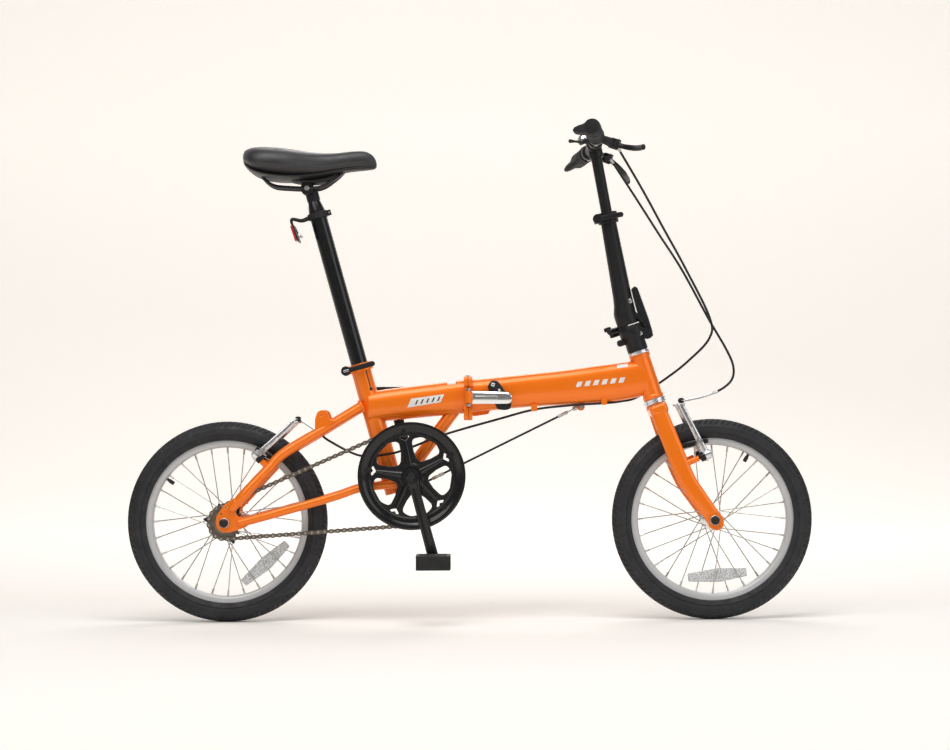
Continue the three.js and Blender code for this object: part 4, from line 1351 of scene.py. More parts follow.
def toothed(centre, teeth, start):
    """The outline of a toothed wheel whose rollers sit between its teeth."""
    line = []
    steps = teeth * 12
    for i in range(steps):
        angle = TAU * i / steps
        wave = max(-1.0, min(1.0, 1.3 * math.cos(teeth * (angle - start))))
        radius = pitch_radius(teeth) - 0.2 + 3.3 * wave
        line.append((centre.x + radius * math.cos(angle), centre.z + radius * math.sin(angle)))
    return line


def around(centre, points):
    """Polar points (radius, angle) about a centre, as an (x, z) outline in mm."""
    return [(centre.x + r * math.cos(a), centre.z + r * math.sin(a)) for r, a in points]


def spider_windows():
    """Five large rounded windows between the arms, and a small one at the end of each arm."""
    holes = []
    for turn in ARM_TURNS:
        between_arms = turn + math.radians(36)
        corners = [(30, 0), (50, -0.37), (73, -0.45), (79.5, -0.2), (79.5, 0.2), (73, 0.45), (50, 0.37)]
        outline = around(crank_centre, [(r, between_arms + a) for r, a in corners])
        holes.append(rounded(outline, 16, 8))
        tip = [(71, 0), (79, -0.13), (80.5, -0.06), (76.5, 0), (80.5, 0.06), (79, 0.13)]
        holes.append(rounded(around(crank_centre, [(r, turn + a) for r, a in tip]), 1.5, 3))
    return holes


def chainring():
    centre = crank_centre
    teeth = plate(
        toothed(centre, RING_TEETH, 0), CHAIN_Y - 1.1, CHAIN_Y + 1.1, [hole(centre.x, centre.z, 84, 96)],
        edge=0.35,
    )
    spider = plate(
        around(centre, [(85.5, TAU * i / 96) for i in range(96)]), -53, -48, spider_windows(), edge=1.4,
    )
    guard_profile = [
        (81, -50.5), (81.4, -52.6), (83, -53.6), (85.5, -53.2), (87, -51.4), (91, -51.4), (93.5, -52.6),
        (97, -55), (101, -56), (105, -55.6), (106.7, -53.8), (106.5, -51.8), (104, -51), (98, -50.6),
        (93, -48.6), (84, -48.4),
    ]
    guard = lathe(guard_profile, at(centre.x, 0, centre.z), SIDE, 160, closed=True)
    boss = lathe(
        [(10, -57), (24, -57), (26, -55.6), (27.5, -53), (27.5, -47), (25, -44), (10, -44)], centre, SIDE,
        64, closed=True,
    )
    arm_radius = between([(0, 8), (0.5, 5.5), (1, 4)])
    bolt_profile = [(0, -46), (5, -46), (5, -52.6), (4.4, -53.6), (2.4, -53.8), (2.2, -52.6), (0, -52.6)]
    arms = []
    bolts = []
    for turn in ARM_TURNS:
        out = at(math.cos(turn), 0, math.sin(turn))
        spot = centre + out * 89
        arms.append(pipe([centre + out * r - SIDE * 52.6 for r in (20, 34, 50, 62, 70)], arm_radius, 20))
        bolts.append(lathe(bolt_profile, at(spot.x, 0, spot.z), SIDE, 20))
    ring_parts = same(GLOSS, teeth, spider, guard, boss, *arms) + same(SATIN, *bolts)
    piece("chainring_guard", "crankset", ring_parts, ["chainring"])


def crank_arm(name, side):
    """A forged arm: a round hub, a blade that tapers and a round pedal eye."""
    eye = pivot(f"pedal_{name}_spin")
    hub = at(crank_centre.x, side * 69, crank_centre.z)
    end = at(eye.x, side * 69, eye.z)
    along = (end - hub).normalized()
    half = between([(0, 14), (0.07, 11.5), (0.2, 9.6), (0.75, 10.6), (0.92, 11), (1, 11)])
    thick = between([(0, 14), (0.5, 13), (1, 12)])

    def section(share):
        """The arm's outline, with a shallow groove along both faces."""
        depth = 0.9 if 0.12 < share < 0.86 else 0
        reach = half(share) * 0.55
        points = []
        for a, b in oval(2 * half(share), thick(share), 40, 0.55):
            groove = depth * max(0, 1 - (a / reach) ** 4)
            points.append((a, b + math.copysign(groove, -b)))
        return points

    steps = 40
    path = [hub + (end - hub) * (i / steps) for i in range(steps + 1)]
    blade = sweep(path, section, side=along.cross(SIDE))
    hub_profile = [
        (0, -7), (14.6, -7), (16, -5.6), (16, 5.4), (14.8, 7), (11.4, 7), (11, 6), (8.6, 6), (8, 7.6),
        (0, 8),
    ]
    eye_profile = [(0, -7), (11, -7), (12, -6), (12, 6), (11, 7), (7, 7), (6.6, 6.4), (0, 6.4)]
    parts = [blade, lathe(hub_profile, hub, SIDE * side, 48), lathe(eye_profile, end, SIDE * side, 40)]
    cap = lathe([(0, 6), (7.8, 6), (7.8, 7.6), (6.8, 8.6), (0, 8.8)], hub, SIDE * side, 32)
    bolt = nut(end - SIDE * side * 8.2, SIDE * side, 9, 1.6)
    piece(
        f"crank_{name}_arm", "crankset",
        same(GLOSS, *parts) + [(cap, PLASTIC), (bolt, STEEL)], [f"crank_{name}"],
    )


def crank_axle():
    shaft = rod(crank_centre - SIDE * 66, crank_centre + SIDE * 66, 8.4)
    cups = []
    for side in (-1, 1):
        profile = [(8.6, 34.3), (20.6, 34.3), (21, 35), (21, 37), (20, 38.4), (8.6, 38.8)]
        cups.append(lathe([(r, side * y) for r, y in profile], crank_centre, SIDE, 48, closed=True))
    piece("crank_axle_shaft", "crankset", same(STEEL, shaft, *cups), ["crank_axle"])


def chain_path():
    """Points a pitch apart along the closed run of the chain."""
    big, small = pitch_radius(RING_TEETH), pitch_radius(SPROCKET_TEETH)
    gap = rear_axle - crank_centre
    centres = math.atan2(gap.z, gap.x)
    distance = math.hypot(gap.x, gap.z)
    spread = math.acos((big - small) / distance)
    straight = math.sqrt(distance**2 - (big - small) ** 2)
    big_wrap = TAU - 2 * spread
    small_wrap = 2 * spread
    total = 2 * straight + big * big_wrap + small * small_wrap
    count = 2 * round(total / PITCH / 2)

    def place(length):
        start = centres + spread
        if length < big * big_wrap:
            angle = start + length / big
            return crank_centre + at(big * math.cos(angle), 0, big * math.sin(angle))
        length -= big * big_wrap
        low = centres - spread
        if length < straight:
            ends = [
                centre + at(r * math.cos(low), 0, r * math.sin(low))
                for centre, r in ((crank_centre, big), (rear_axle, small))
            ]
            return ends[0].lerp(ends[1], length / straight)
        length -= straight
        if length < small * small_wrap:
            angle = low + length / small
            return rear_axle + at(small * math.cos(angle), 0, small * math.sin(angle))
        length -= small * small_wrap
        high = centres + spread
        ends = [
            centre + at(r * math.cos(high), 0, r * math.sin(high))
            for centre, r in ((rear_axle, small), (crank_centre, big))
        ]
        return ends[0].lerp(ends[1], length / straight)

    return [place(total * i / count) + SIDE * CHAIN_Y for i in range(count)]


def link_plate(a, b, y, thickness, end_radius):
    """A figure-of-eight side plate between two pins."""
    along = (b - a).normalized()
    across = along.cross(SIDE)
    length = (b - a).length
    line = []
    for centre, start in ((length, -110), (0, 70)):
        line += [
            (
                centre + end_radius * math.cos(math.radians(start + 22 * k)),
                end_radius * math.sin(math.radians(start + 22 * k)),
            )
            for k in range(11)
        ]
    waist = [(length / 2, end_radius * 0.62), (length / 2, -end_radius * 0.62)]
    line = line[:11] + [waist[0]] + line[11:] + [waist[1]]
    rings = [
        [a + (along * u + across * v + SIDE * (y + s * thickness / 2)) for u, v in line]
        for s in (-1, 1)
    ]
    return skin(rings)


def chain():
    points = chain_path()
    plates = []
    rollers = []
    for i, (a, b) in enumerate(zip(points, points[1:] + points[:1])):
        y = 3.1 if i % 2 else 2.0
        plates += [link_plate(a, b, side * y, 1.0, 4.5) for side in (-1, 1)]
        rollers.append(rod(a - SIDE * 4.0, a + SIDE * 4.0, 2.1, count=10, edge=0.3))
        rollers.append(rod(a - SIDE * 1.5, a + SIDE * 1.5, 3.9, count=14, edge=0.2))
    piece(
        "chain_links", "rear_frame", same(CHAIN, *plates) + same(STEEL, *rollers), ["chain"],
    )


def sprocket():
    centre = rear_axle
    x, z = centre.x, centre.z
    teeth = plate(
        toothed(centre, SPROCKET_TEETH, 0.1), CHAIN_Y - 1.1, CHAIN_Y + 1.1, [hole(x, z, 15)], edge=0.35,
    )
    body_profile = [
        (5.8, -56), (15.5, -56), (17, -55), (17, -50), (23, -49), (23, -43.4), (17, -42), (17, -38.6),
        (16, -38), (5.8, -38),
    ]
    body = lathe(body_profile, centre, SIDE, 48, closed=True)
    face = lathe([(9, -56.2), (14.6, -56.2), (14.6, -55.8), (9, -55.8)], centre, SIDE, 48, closed=True)
    piece(
        "sprocket_freewheel", "sprocket", same(CHAIN, teeth, body) + [(face, STEEL)], ["sprocket"],
    )
    points = []
    for k in range(6):
        turn = math.radians(171 - 60 * k)
        points += [(47 if k % 2 == 0 else 41, turn), (27, turn - math.radians(30))]
    star = plate(rounded(around(centre, points), 2, 3), -36.6, -35, [hole(x, z, 12.6)], edge=0.4)
    piece("spoke_guard_star", "rear_wheel", same(PLASTIC, star))


def pedal(name, side):
    """A folding pedal: a moulded body with ribbed treads that hinges on a square inner block."""
    pin = pivot(f"pedal_{name}_spin")
    x, z = pin.x, pin.z

    def mid(y):
        return at(x, side * y, z)

    block_parts = [block(mid(86), (26, 12.4, 26), 2.4)]
    block_parts.append(rod(mid(92), mid(93.4), 9))
    spindle = rod(mid(76.3), mid(82), 6, count=32)
    collar = nut(mid(78.5), SIDE * side, 15, 3)
    piece(
        f"pedal_{name}_inner_block", f"pedal_block_{name}",
        same(PLASTIC, *block_parts) + same(STEEL, spindle, collar), [f"pedal_block_{name}"],
    )
    parts = []
    for up in (-1, 1):
        line = rounded([(-33.5, 94.6), (33.5, 94.6), (33.5, 170.4), (-33.5, 170.4)], 7)
        ring = [
            [at(x + a * scale, side * (132.5 + (b - 132.5) * scale), z + up * h) for a, b in line]
            for h, scale in ((9.6, 0.985), (10.6, 1.0), (13, 1.0), (13.9, 0.975))
        ]
        inner = [
            [at(x + a * 0.80, side * (132.5 + (b - 132.5) * 0.84), z + up * h) for a, b in line]
            for h in (13.9, 9.6)
        ]
        parts.append(skin(ring + inner, closed=True))
        for y in range(105, 162, 8):
            parts.append(block(at(x, side * y, z + up * 11.6), (57, 2.4, 3.6), 0.6))
    for y in (96.6, 168.4):
        parts.append(block(mid(y), (60, 3.6, 22), 1.4))
    for lift in (-1, 1):
        parts.append(block(at(x + lift * 31.2, side * 132.5, z), (3.2, 70, 20.4), 1.0))
        for y in range(104, 161, 14):
            parts.append(block(at(x + lift * 32.2, side * y, z), (2.2, 3, 20), 0.6))
    parts.append(rod(mid(96), mid(168), 8.5, 7))
    cap = lathe([(0, 0), (7, 0), (7, 0.8), (5.4, 1.4), (0, 1.5)], mid(169.8), SIDE * side, 28)
    reflectors = []
    if side > 0:
        reflectors = [block(at(x + lift * 33, 132.5, z), (1.2, 44, 13), 0.4) for lift in (-1, 1)]
    piece(
        f"pedal_{name}_body", f"pedal_{name}",
        same(PLASTIC, *parts, cap) + same(CLEAR, *reflectors), [f"pedal_{name}"],
    )


chainring()
crank_axle()
chain()
sprocket()
for word, sign in LEFT_RIGHT:
    crank_arm(word, sign)
    pedal(word, sign)


# ---------- main hinge latch ----------
def latch_lever():
    """The chromed lever: an orange barrel on a steel pin, and a pressed handle with turned-in edges."""
    pin = pivot("frame_latch_open")
    x, y = pin.x, pin.y
    barrel = lathe(
        [(4, 433), (8, 433), (8.6, 434), (8.6, 455), (8, 456), (4, 456)], at(x, y, 0), UP, 40, closed=True,
    )
    upper_half = [(3.6, 456), (5, 457.5), (5, 460.5), (3, 462.5), (0, 462.5)]
    lower_half = [(r, 889 - z) for r, z in reversed(upper_half)]
    pivot_pin = lathe(lower_half + upper_half, at(x, y, 0), UP, 28)
    stations = [
        (4, 24, 444, 5), (8, 24.6, 444, 5.6), (24, 24.4, 443.8, 5.8), (50, 24, 443.4, 6), (70, 23, 443, 6),
        (78, 21.5, 442.8, 5.8), (82, 18, 442.6, 5.2), (84.4, 12, 442.4, 4.2),
    ]
    rings = []
    for along, height, mid, bulge in curve_points([Vector(s) for s in stations], 5):
        outer = [
            (-40.4 - bulge * max(0.0, 1 - (k / 8) ** 4) * 0.55, mid + height / 2 * k / 8)
            for k in range(-8, 9)
        ]
        inner = [
            (-38.6 - bulge * max(0.0, 1 - (k / 8) ** 4) * 0.3, mid + (height / 2 - 1.6) * k / 8)
            for k in range(8, -9, -1)
        ]
        edge_low = [(-37.2, mid - height / 2 + 1.2)]
        edge_high = [(-37.2, mid + height / 2 - 1.2)]
        rings.append([at(x + 1 + along, depth, z) for depth, z in outer + edge_high + inner + edge_low])
    handle = skin(rings, sharp=50)
    rib = block(at(34, -43.6, 443.5), (44, 1.2, 7), 0.5, segments=3)
    parts = [(barrel, ORANGE), (pivot_pin, STEEL), (handle, CHROME), (rib, CHROME)]
    piece("latch_lever_handle", "frame_latch_lever", parts, ["frame_latch_lever"])


def latch_catch():
    """The black safety catch behind the lever, with its white button."""
    outline = [
        (36, 466, 9), (45, 479, 9), (57, 477, 9), (66, 465, 12), (84, 434, 14), (83, 421, 8),
        (70, 418.5, 8), (56, 420, 8), (50, 434, 14),
    ]
    body = plate(rounded(outline, 8), -35.6, -27.4, edge=2.6)
    pad = plate(
        rounded([(42, 465, 5), (47, 474, 5), (56, 472, 5), (60, 463, 5), (54, 452, 5), (47, 455, 5)], 5),
        -37, -34, edge=0.8,
    )
    button = block(at(47.5, -37.4, 469.5), (7, 1.6, 7), 0.5, Matrix.Rotation(math.radians(20), 3, "Y"))
    dot = rod(at(47.5, -38.8, 469.5), at(47.5, -36, 469.5), 1.5, count=16, edge=0.2)
    screw = lathe([(0, 0), (2.6, 0), (2.6, 1), (1.6, 1.6), (0, 1.6)], at(60, -36.6, 458.5), -SIDE, 16)
    parts = [(body, PLASTIC), (pad, PLASTIC), (button, WHITE), (dot, PLASTIC), (screw, WHITE)]
    piece("latch_catch_body", "frame_latch_catch", parts, ["frame_latch_catch"])


latch_lever()
latch_catch()


# ---------- seat ----------
def seatpost():
    """A black post with a swaged neck, and the saddle bracket's clamp above."""
    shoulder = 314
    profile = [
        (0, -212), (15.8, -212), (16.95, -211), (16.95, shoulder), (16, shoulder + 7), (13, shoulder + 21),
        (11, shoulder + 28), (10.5, shoulder + 47), (9.6, shoulder + 48), (0, shoulder + 48),
    ]
    tube = lathe(profile, SEAT_TUBE_TOP, seat_dir, 64, sharp=40)
    piece("seatpost_tube", "seatpost", same(GLOSS, tube), ["seatpost"])
    centre = middle("saddle_clamp")
    drum = [
        (0, 4), (11.4, 4), (12, 4.8), (12, 15), (12.6, 15.6), (12.6, 20), (11.4, 21.6), (6.4, 21.8),
        (6, 20.6), (0, 20.6),
    ]
    drums = [lathe(drum, centre, out, 40) for out in (-SIDE, SIDE)]
    nuts = [nut(centre + out * 20, out, 9.5, 4.5) for out in (-SIDE, SIDE)]
    band = lathe(
        [(10.6, -5), (13, -5), (13.4, -4), (13.4, 4), (13, 5), (10.6, 5)], centre, SIDE, 40, closed=True,
    )
    cup = rod(SEAT_TUBE_TOP + seat_dir * 338, SEAT_TUBE_TOP + seat_dir * 366, 13.2, count=40, edge=1.5)
    piece(
        "saddle_clamp_body", "seatpost", same(SATIN, *drums, band, cup) + same(STEEL, *nuts),
        ["saddle_clamp"],
    )


SADDLE = (
    (-448, 20, 929, 920), (-446.5, 36, 934.5, 914), (-442, 55, 940, 906), (-428, 73, 944.5, 894),
    (-408, 80.5, 946, 886), (-380, 79, 945, 881.5), (-352, 70, 942, 880.5), (-325, 57, 938, 882),
    (-295, 43, 935, 886.5), (-268, 33, 935, 892), (-242, 26.5, 937.5, 897.5), (-220, 22.5, 939.4, 900),
    (-203, 19, 938, 901.5), (-191, 15, 931.5, 903), (-184.5, 10.5, 922, 904.5), (-182.5, 6, 914, 906),
)


def saddle_ring(x, half, top, bottom, count=56):
    """One upright section: a crowned top, full sides and a skirt that tucks in underneath."""
    ring = []
    for i in range(count):
        angle = TAU * i / count
        c, s = math.cos(angle), math.sin(angle)
        waist = bottom + 0.42 * (top - bottom)
        if s >= 0:
            y = half * math.copysign(abs(c) ** 0.72, c)
            z = waist + (top - waist) * s**0.9
            z -= 2.2 * math.exp(-((y / 9) ** 2)) * min(1.0, half / 60)
        else:
            y = half * math.copysign(abs(c) ** 0.55, c) * (1 - 0.2 * s * s)
            z = waist + (waist - bottom) * s
        ring.append(at(x, y, z))
    return ring


def saddle():
    rows = [tuple(row) for row in curve_points([Vector(s) for s in SADDLE], 5)]
    cover = skin([saddle_ring(*row) for row in rows], sharp=80)
    seams = []
    for side in (-1, 1):
        line = []
        for x, half, top, bottom in rows[8:-8]:
            waist = bottom + 0.42 * (top - bottom)
            line.append(at(x, side * half * 0.985, waist - 0.16 * (waist - bottom)))
        seams.append(pipe(line, 0.8, 8))
    base_rows = [(x, max(4, half * 0.86), bottom + 9, bottom - 1.2) for x, half, top, bottom in rows[6:-6]]
    base = skin([saddle_ring(*row, count=40) for row in base_rows], sharp=80)
    shell = [
        (-352, 24, 888, 876), (-330, 26, 886, 872), (-305, 25, 886, 871.5), (-282, 22, 890, 874),
        (-266, 17, 897, 880), (-252, 10, 902, 890), (-244, 6, 904, 896),
    ]
    belly = skin(
        [saddle_ring(*row, count=40) for row in curve_points([Vector(s) for s in shell], 5)], sharp=80,
    )
    rails = []
    for side in (-1, 1):
        controls = [
            (-412, 30, 893), (-404, 27, 880), (-385, 22, 868), (-350, 20, 864.5), (-321, 20, 863.5),
            (-292, 19, 866), (-266, 15, 882), (-250, 11, 896),
        ]
        rails.append(pipe(curve_points([at(x, side * y, z) for x, y, z in controls], 8), 3.5, 14))
    piece(
        "saddle_cover", "seatpost", same(VINYL, cover, *seams) + same(PLASTIC, base, belly),
        ["saddle"],
    )
    piece("saddle_rails", "seatpost", same(GLOSS, *rails))


def rear_reflector():
    """A strap round the post, a curved arm and a red lens in its holder."""
    base = SEAT_TUBE_TOP + seat_dir * 303
    forward = forward_of(seat_dir)
    strap = lathe(
        [(17.1, 0), (20, 0), (20.6, 0.7), (20.6, 11.6), (20, 12.3), (17.1, 12.3)], base, seat_dir, 56,
        closed=True,
    )
    ears = [
        block(base + seat_dir * 6 + forward * 23 + SIDE * y, (8, 3.4, 11), 1, facing(forward, seat_dir))
        for y in (-3.4, 3.4)
    ]
    start = base + seat_dir * 6 - forward * 18
    lens_centre = at(-346.5, 0, 773)
    lens_up = at(-math.sin(math.radians(18)), 0, math.cos(math.radians(18))).normalized()
    lens_out = at(-lens_up.z, 0, lens_up.x).normalized()
    controls = [
        start, start - forward * 16 - UP * 1, at(-352, 0, 803), at(-352.5, 0, 793), at(-346, 0, 783),
        lens_centre - lens_out * 5,
    ]
    arm = sweep(curve_points(controls, 8), lambda t: oval(12 - 2 * t, 9 - 4 * min(1, t * 1.6), 24, 0.6))
    turn = facing(lens_out, lens_up)
    holder = block(lens_centre - lens_out * 3, (3.4, 60, 35), 1.4, turn)
    lens = block(lens_centre + lens_out * 0.4, (5.6, 58, 33), 2.2, turn, 3)
    ribs = [
        block(lens_centre + lens_out * 3.2 + SIDE * y, (0.8, 1, 30), 0.3, turn)
        for y in (-14.5, 0, 14.5)
    ]
    post = lens_centre - lens_out * 4 - lens_up * 8
    screw = rod(post, post - lens_out * 9, 2, count=16)
    cap = nut(post - lens_out * 5, -lens_out, 7, 3.4)
    eye = base + seat_dir * 6 + forward * 23.5
    bolt = rod(eye - SIDE * 8, eye + SIDE * 8, 2, count=16)
    parts = same(PLASTIC, strap, arm, holder, *ears) + same(RED, lens, *ribs)
    parts += same(STEEL, screw, cap, bolt)
    piece("rear_reflector_lens", "seatpost", parts, ["rear_reflector"])


seatpost()
saddle()
rear_reflector()


# ---------- brakes ----------
SHOE_R = 154.4


def brake_arm(end, side, anchor, axis, top, wheel_axle):
    """A forged arm on its stud, with its spring, cable anchor and shoe."""
    word = "left" if side > 0 else "right"
    body = f"{end}_brake_arm_{word}"
    out = axis.normalized()
    anchor = at(anchor[0], side * anchor[1], anchor[2])
    head = at(top[0], side * 46, top[1])
    bottom = anchor + out * 4
    mid = bottom.lerp(head, 0.42) + SIDE * side * 2
    path = curve_points([bottom - UP * 4, bottom + UP * 1, mid, head], 10)
    width = between([(0, 15), (0.15, 17), (0.4, 14), (0.8, 11), (1, 10)])
    thick = between([(0, 11), (0.3, 9), (0.6, 7.4), (1, 6)])
    arm = sweep(path, lambda t: oval(thick(t), width(t), 28, 0.7), side=SIDE)
    hub = lathe([(0, -3), (8.6, -3), (9.4, -2), (9.4, 8), (8.4, 9.4), (0, 9.4)], bottom, out, 36)
    bolt = hex_socket(bottom + out * 10.4, out, 5.2)
    coil = lathe(
        [(6.6, -13), (9, -12.4), (9.4, -11), (9.4, -3.4), (6.6, -2.8)], bottom, out, 32, closed=True,
    )
    spring_line = [
        bottom + SIDE * side * 8 - out * 4, bottom.lerp(head, 0.3) + SIDE * side * 7 - out * 4,
        bottom.lerp(head, 0.55) + SIDE * side * 5.5 - out * 1,
    ]
    spring = pipe(curve_points(spring_line, 5), 0.9, 8)
    post, shoe_nut, washers, rubber, holder = brake_shoe(side, path, (bottom + head) / 2, wheel_axle)
    pinch = rod(head - FORWARD * 7 - UP * 2, head + FORWARD * 7 - UP * 2, 2.6, count=18)
    away = FORWARD if end == "front" else -FORWARD
    pinch_nut = nut(head + away * 4 - UP * 2, away, 8, 4)
    parts = same(SILVER, arm, hub)
    parts += same(STEEL, bolt, spring, post, shoe_nut, pinch, pinch_nut, *washers)
    parts += same(SATIN, coil) + same(SHOE, *rubber) + same(SATIN, holder)
    piece(f"{body}_forging", body, parts, [body])


def brake_shoe(side, path, centre, wheel_axle):
    """The pad on the rim beside an arm's middle, and what bolts it to the arm's path."""
    radial = centre - wheel_axle
    radial.y = 0
    radial.normalize()
    shoe_at = wheel_axle + radial * SHOE_R
    shoe_at.y = side * 19
    tangent = SIDE.cross(radial).normalized()
    turn = facing(tangent, radial)
    pad = block(shoe_at, (52, 8.4, 9), 2.2, turn, 3)
    notches = [block(shoe_at + tangent * t + SIDE * side * 2, (2, 5.4, 9.4), 0.4, turn) for t in (-13, 13)]
    holder = block(shoe_at + SIDE * side * 4.6, (44, 3, 7.4), 1, turn)
    slot_point = nearest_on(path, shoe_at)
    post = rod(shoe_at + SIDE * side * 4, at(slot_point.x, side * 60, slot_point.z), 3, count=20)
    washer = [(0, 0), (6.4, 0), (6.4, 3), (0, 3)]
    washers = [
        lathe(washer, at(slot_point.x, side * y, slot_point.z), SIDE * side, 24)
        for y in (38.5, 54)
    ]
    shoe_nut = nut(at(slot_point.x, side * 57, slot_point.z), SIDE * side, 9, 4.5)
    return post, shoe_nut, washers, [pad, *notches], holder


def nearest_on(path, point):
    """The point of a path that is level with another along the wheel's plane."""
    return min(path, key=lambda p: (p.x - point.x) ** 2 + (p.z - point.z) ** 2)


for word, sign in LEFT_RIGHT:
    brake_arm("front", sign, (464.5, 48, 326.2), at(32, 0, 13.5), (418.5, 429), front_axle)
    brake_arm("rear", sign, (-416.2, 48, 328.2), at(-1, 0, 1), (-346, 399), rear_axle)


# ---------- cables ----------
CABLE_R = 2.4
FRONT_CABLE = (
    (294, 104, 930), (342, 85, 851), (386, 58, 775), (430, 32, 700), (482, 24, 601), (516, 18, 540),
    (530, 14, 505), (527, 12, 478), (505, 12, 458), (470, 22, 444), (432, 34, 436),
)
REAR_CABLE = (
    (294, -104, 930), (342, -85, 851), (386, -60, 775), (430, -34, 700), (479, -26, 601), (478, -27, 559),
    (440, 4, 516), (400, 34, 483), (340, 38, 444), (304, 14, 435), (269, -14, 431.5), (201, -14, 427.5),
    (129.5, -14, 419.5), (62, -14, 402), (-49, -18, 371), (-118, -24, 345), (-160, -27, 333),
    (-217, -27, 330), (-280, -14, 360), (-300, -6, 377), (-338, 10, 401),
)
TENSION_CABLE = (at(215, 0, 423.3), at(-86, 0, 276.5))
STEPS = 10


def cable_run(name, knots, first, last, bodies, replaces=(), extra=()):
    """The part of a cable between two of its knots, on one body, or left unattached in place where it runs
    between two.
    """
    path = curve_points([at(*knot) for knot in knots], STEPS)[first * STEPS : last * STEPS + 1]
    run = joined([painted(obj, material) for obj, material in [(pipe(path, CABLE_R, 12), SHEATH), *extra]])
    run.name = name
    if len(bodies) == 1:
        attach(run, bodies[0])
    else:
        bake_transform(run)
    if replaces:
        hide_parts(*replaces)


def ferrule(knots):
    """The metal cap on the upper end of a sheath."""
    start = at(*knots[0])
    along = (at(*knots[1]) - start).normalized()
    return rod(start - along * 2, start + along * 9, 3.1, count=20), STEEL


def noodle(knots, count):
    """The bent steel guide that leads a sheath into the brake."""
    path = curve_points([at(*knot) for knot in knots], STEPS)[-count:]
    return pipe(path, lambda t: 3.4 if t < 0.12 else 2.7, 16), SILVER


def cross_wire(body, end, x, z):
    """The bare wire between the tops of two brake arms, inside its rubber bellows."""
    wire = pipe([at(x, y, z) for y in (-52, 0, 44)], 1.0, 8, UP)
    profile = [(1.4, -16), (5, -15)]
    for k in range(7):
        profile += [(5.6, -13 + 4 * k), (3.4, -11 + 4 * k)]
    bellows = lathe([*profile, (4.4, 15), (1.4, 16)], at(x, 12, z), SIDE, 20, closed=True)
    tail_cap = rod(at(x, -52, z), at(x, -61, z - 2), 1.7, count=12)
    piece(f"{end}_brake_wire", body, same(STEEL, wire, tail_cap) + same(SHOE, bellows))


def brake_cables():
    cable_run(
        "front_cable_top", FRONT_CABLE, 0, 2, ("handlebar", "handlepost"),
        extra=[ferrule(FRONT_CABLE)],
    )
    cable_run("front_cable_bend", FRONT_CABLE, 2, 6, ("handlepost", "fork"))
    cable_run(
        "front_cable_end", FRONT_CABLE, 6, 10, ("fork",), ["front_brake_cable"], [noodle(FRONT_CABLE, 19)],
    )
    cable_run(
        "rear_cable_top", REAR_CABLE, 0, 2, ("handlebar", "handlepost"), extra=[ferrule(REAR_CABLE)],
    )
    cable_run("rear_cable_bend", REAR_CABLE, 2, 5, ("handlepost", "fork"))
    cable_run("rear_cable_neck", REAR_CABLE, 5, 8, ("fork", "front_frame"))
    cable_run("rear_cable_front", REAR_CABLE, 8, 12, ("front_frame",), ["rear_brake_cable"])
    cable_run("rear_cable_fold", REAR_CABLE, 12, 13, ("front_frame", "rear_frame"))
    cable_run("rear_cable_end", REAR_CABLE, 13, 19, ("rear_frame",), extra=[noodle(REAR_CABLE, 14)])
    cross_wire("fork", "front", 425, 436)
    cross_wire("rear_frame", "rear", -343, 403)


def tension_cable():
    """The stay that keeps the closed frame tight, with its turnbuckle near the crank."""
    front, back = TENSION_CABLE
    along = (back - front).normalized()
    length = (back - front).length

    def place(distance):
        return front + along * distance

    wire = pipe([place(42 + (length - 42) * k / 40) for k in range(41)], 2.2, 12)
    bare = pipe([place(42 * k / 6) for k in range(7)], 1.3, 10)
    ferrule_front = rod(place(20), place(42), 3.4, count=20)
    body_profile = [
        (2, 0), (3.2, 1), (3.8, 3), (3.8, 10), (3.2, 11), (3.2, 15), (3.8, 16), (3.8, 24), (3.2, 27),
        (2, 28),
    ]
    buckle = lathe(body_profile, place(length - 40), along, 20, closed=True)
    end = lathe([(0, 0), (4, 0), (4.6, 1), (4.6, 9), (3, 11), (0, 11)], place(-2), along, 20)
    whole = joined(
        [painted(wire, SHEATH), *(painted(part, STEEL) for part in (bare, ferrule_front, buckle, end))]
    )
    whole.name = "tension_cable_wire"
    tuple(place(120) * MM)
    tuple(place(length - 125) * MM)
    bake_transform(whole)
    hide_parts("tension_cable")


brake_cables()
tension_cable()


# ---------- generic decals ----------
def tube_at(stations, x):
    """The middle height, half width and half height of a main tube at x."""
    rows = curve_points([Vector(s) for s in stations], 6)
    for a, b in zip(rows, rows[1:]):
        if a[0] <= x <= b[0]:
            _, z, width, height = a.lerp(b, (x - a[0]) / (b[0] - a[0]))
            return z, width / 2, height / 2
    return rows[-1][1], rows[-1][2] / 2, rows[-1][3] / 2


def on_tube(stations, x, z, lift):
    """The point on the right side of a main tube at x and z, lifted off it by lift mm."""
    mid, half_width, half_height = tube_at(stations, x)
    share = min(0.99, abs(z - mid) / half_height)
    depth = half_width * (1 - share**2.5) ** 0.4
    return at(x, -depth - lift, z)


def decal(stations, corners, lift=0.3, columns=20, rows=8):
    """A thin printed panel bent over a tube: corners are (x, z) from lower left, anticlockwise."""
    low_left, low_right, high_right, high_left = (Vector(c) for c in corners)
    points = []
    for i in range(columns + 1):
        low = low_left.lerp(low_right, i / columns)
        high = high_left.lerp(high_right, i / columns)
        points += [on_tube(stations, *low.lerp(high, k / rows), lift) for k in range(rows + 1)]
    faces = []
    for i in range(columns):
        for k in range(rows):
            a = i * (rows + 1) + k
            faces.append((a, a + rows + 1, a + rows + 2, a + 1))
    return solid(points, faces)


def slanted(x, z, width, height, slant, slope):
    """The corners of a leaning bar on a sloping line."""
    return (
        (x, z), (x + width, z + slope * width), (x + width + slant, z + height + slope * width),
        (x + slant, z + height),
    )


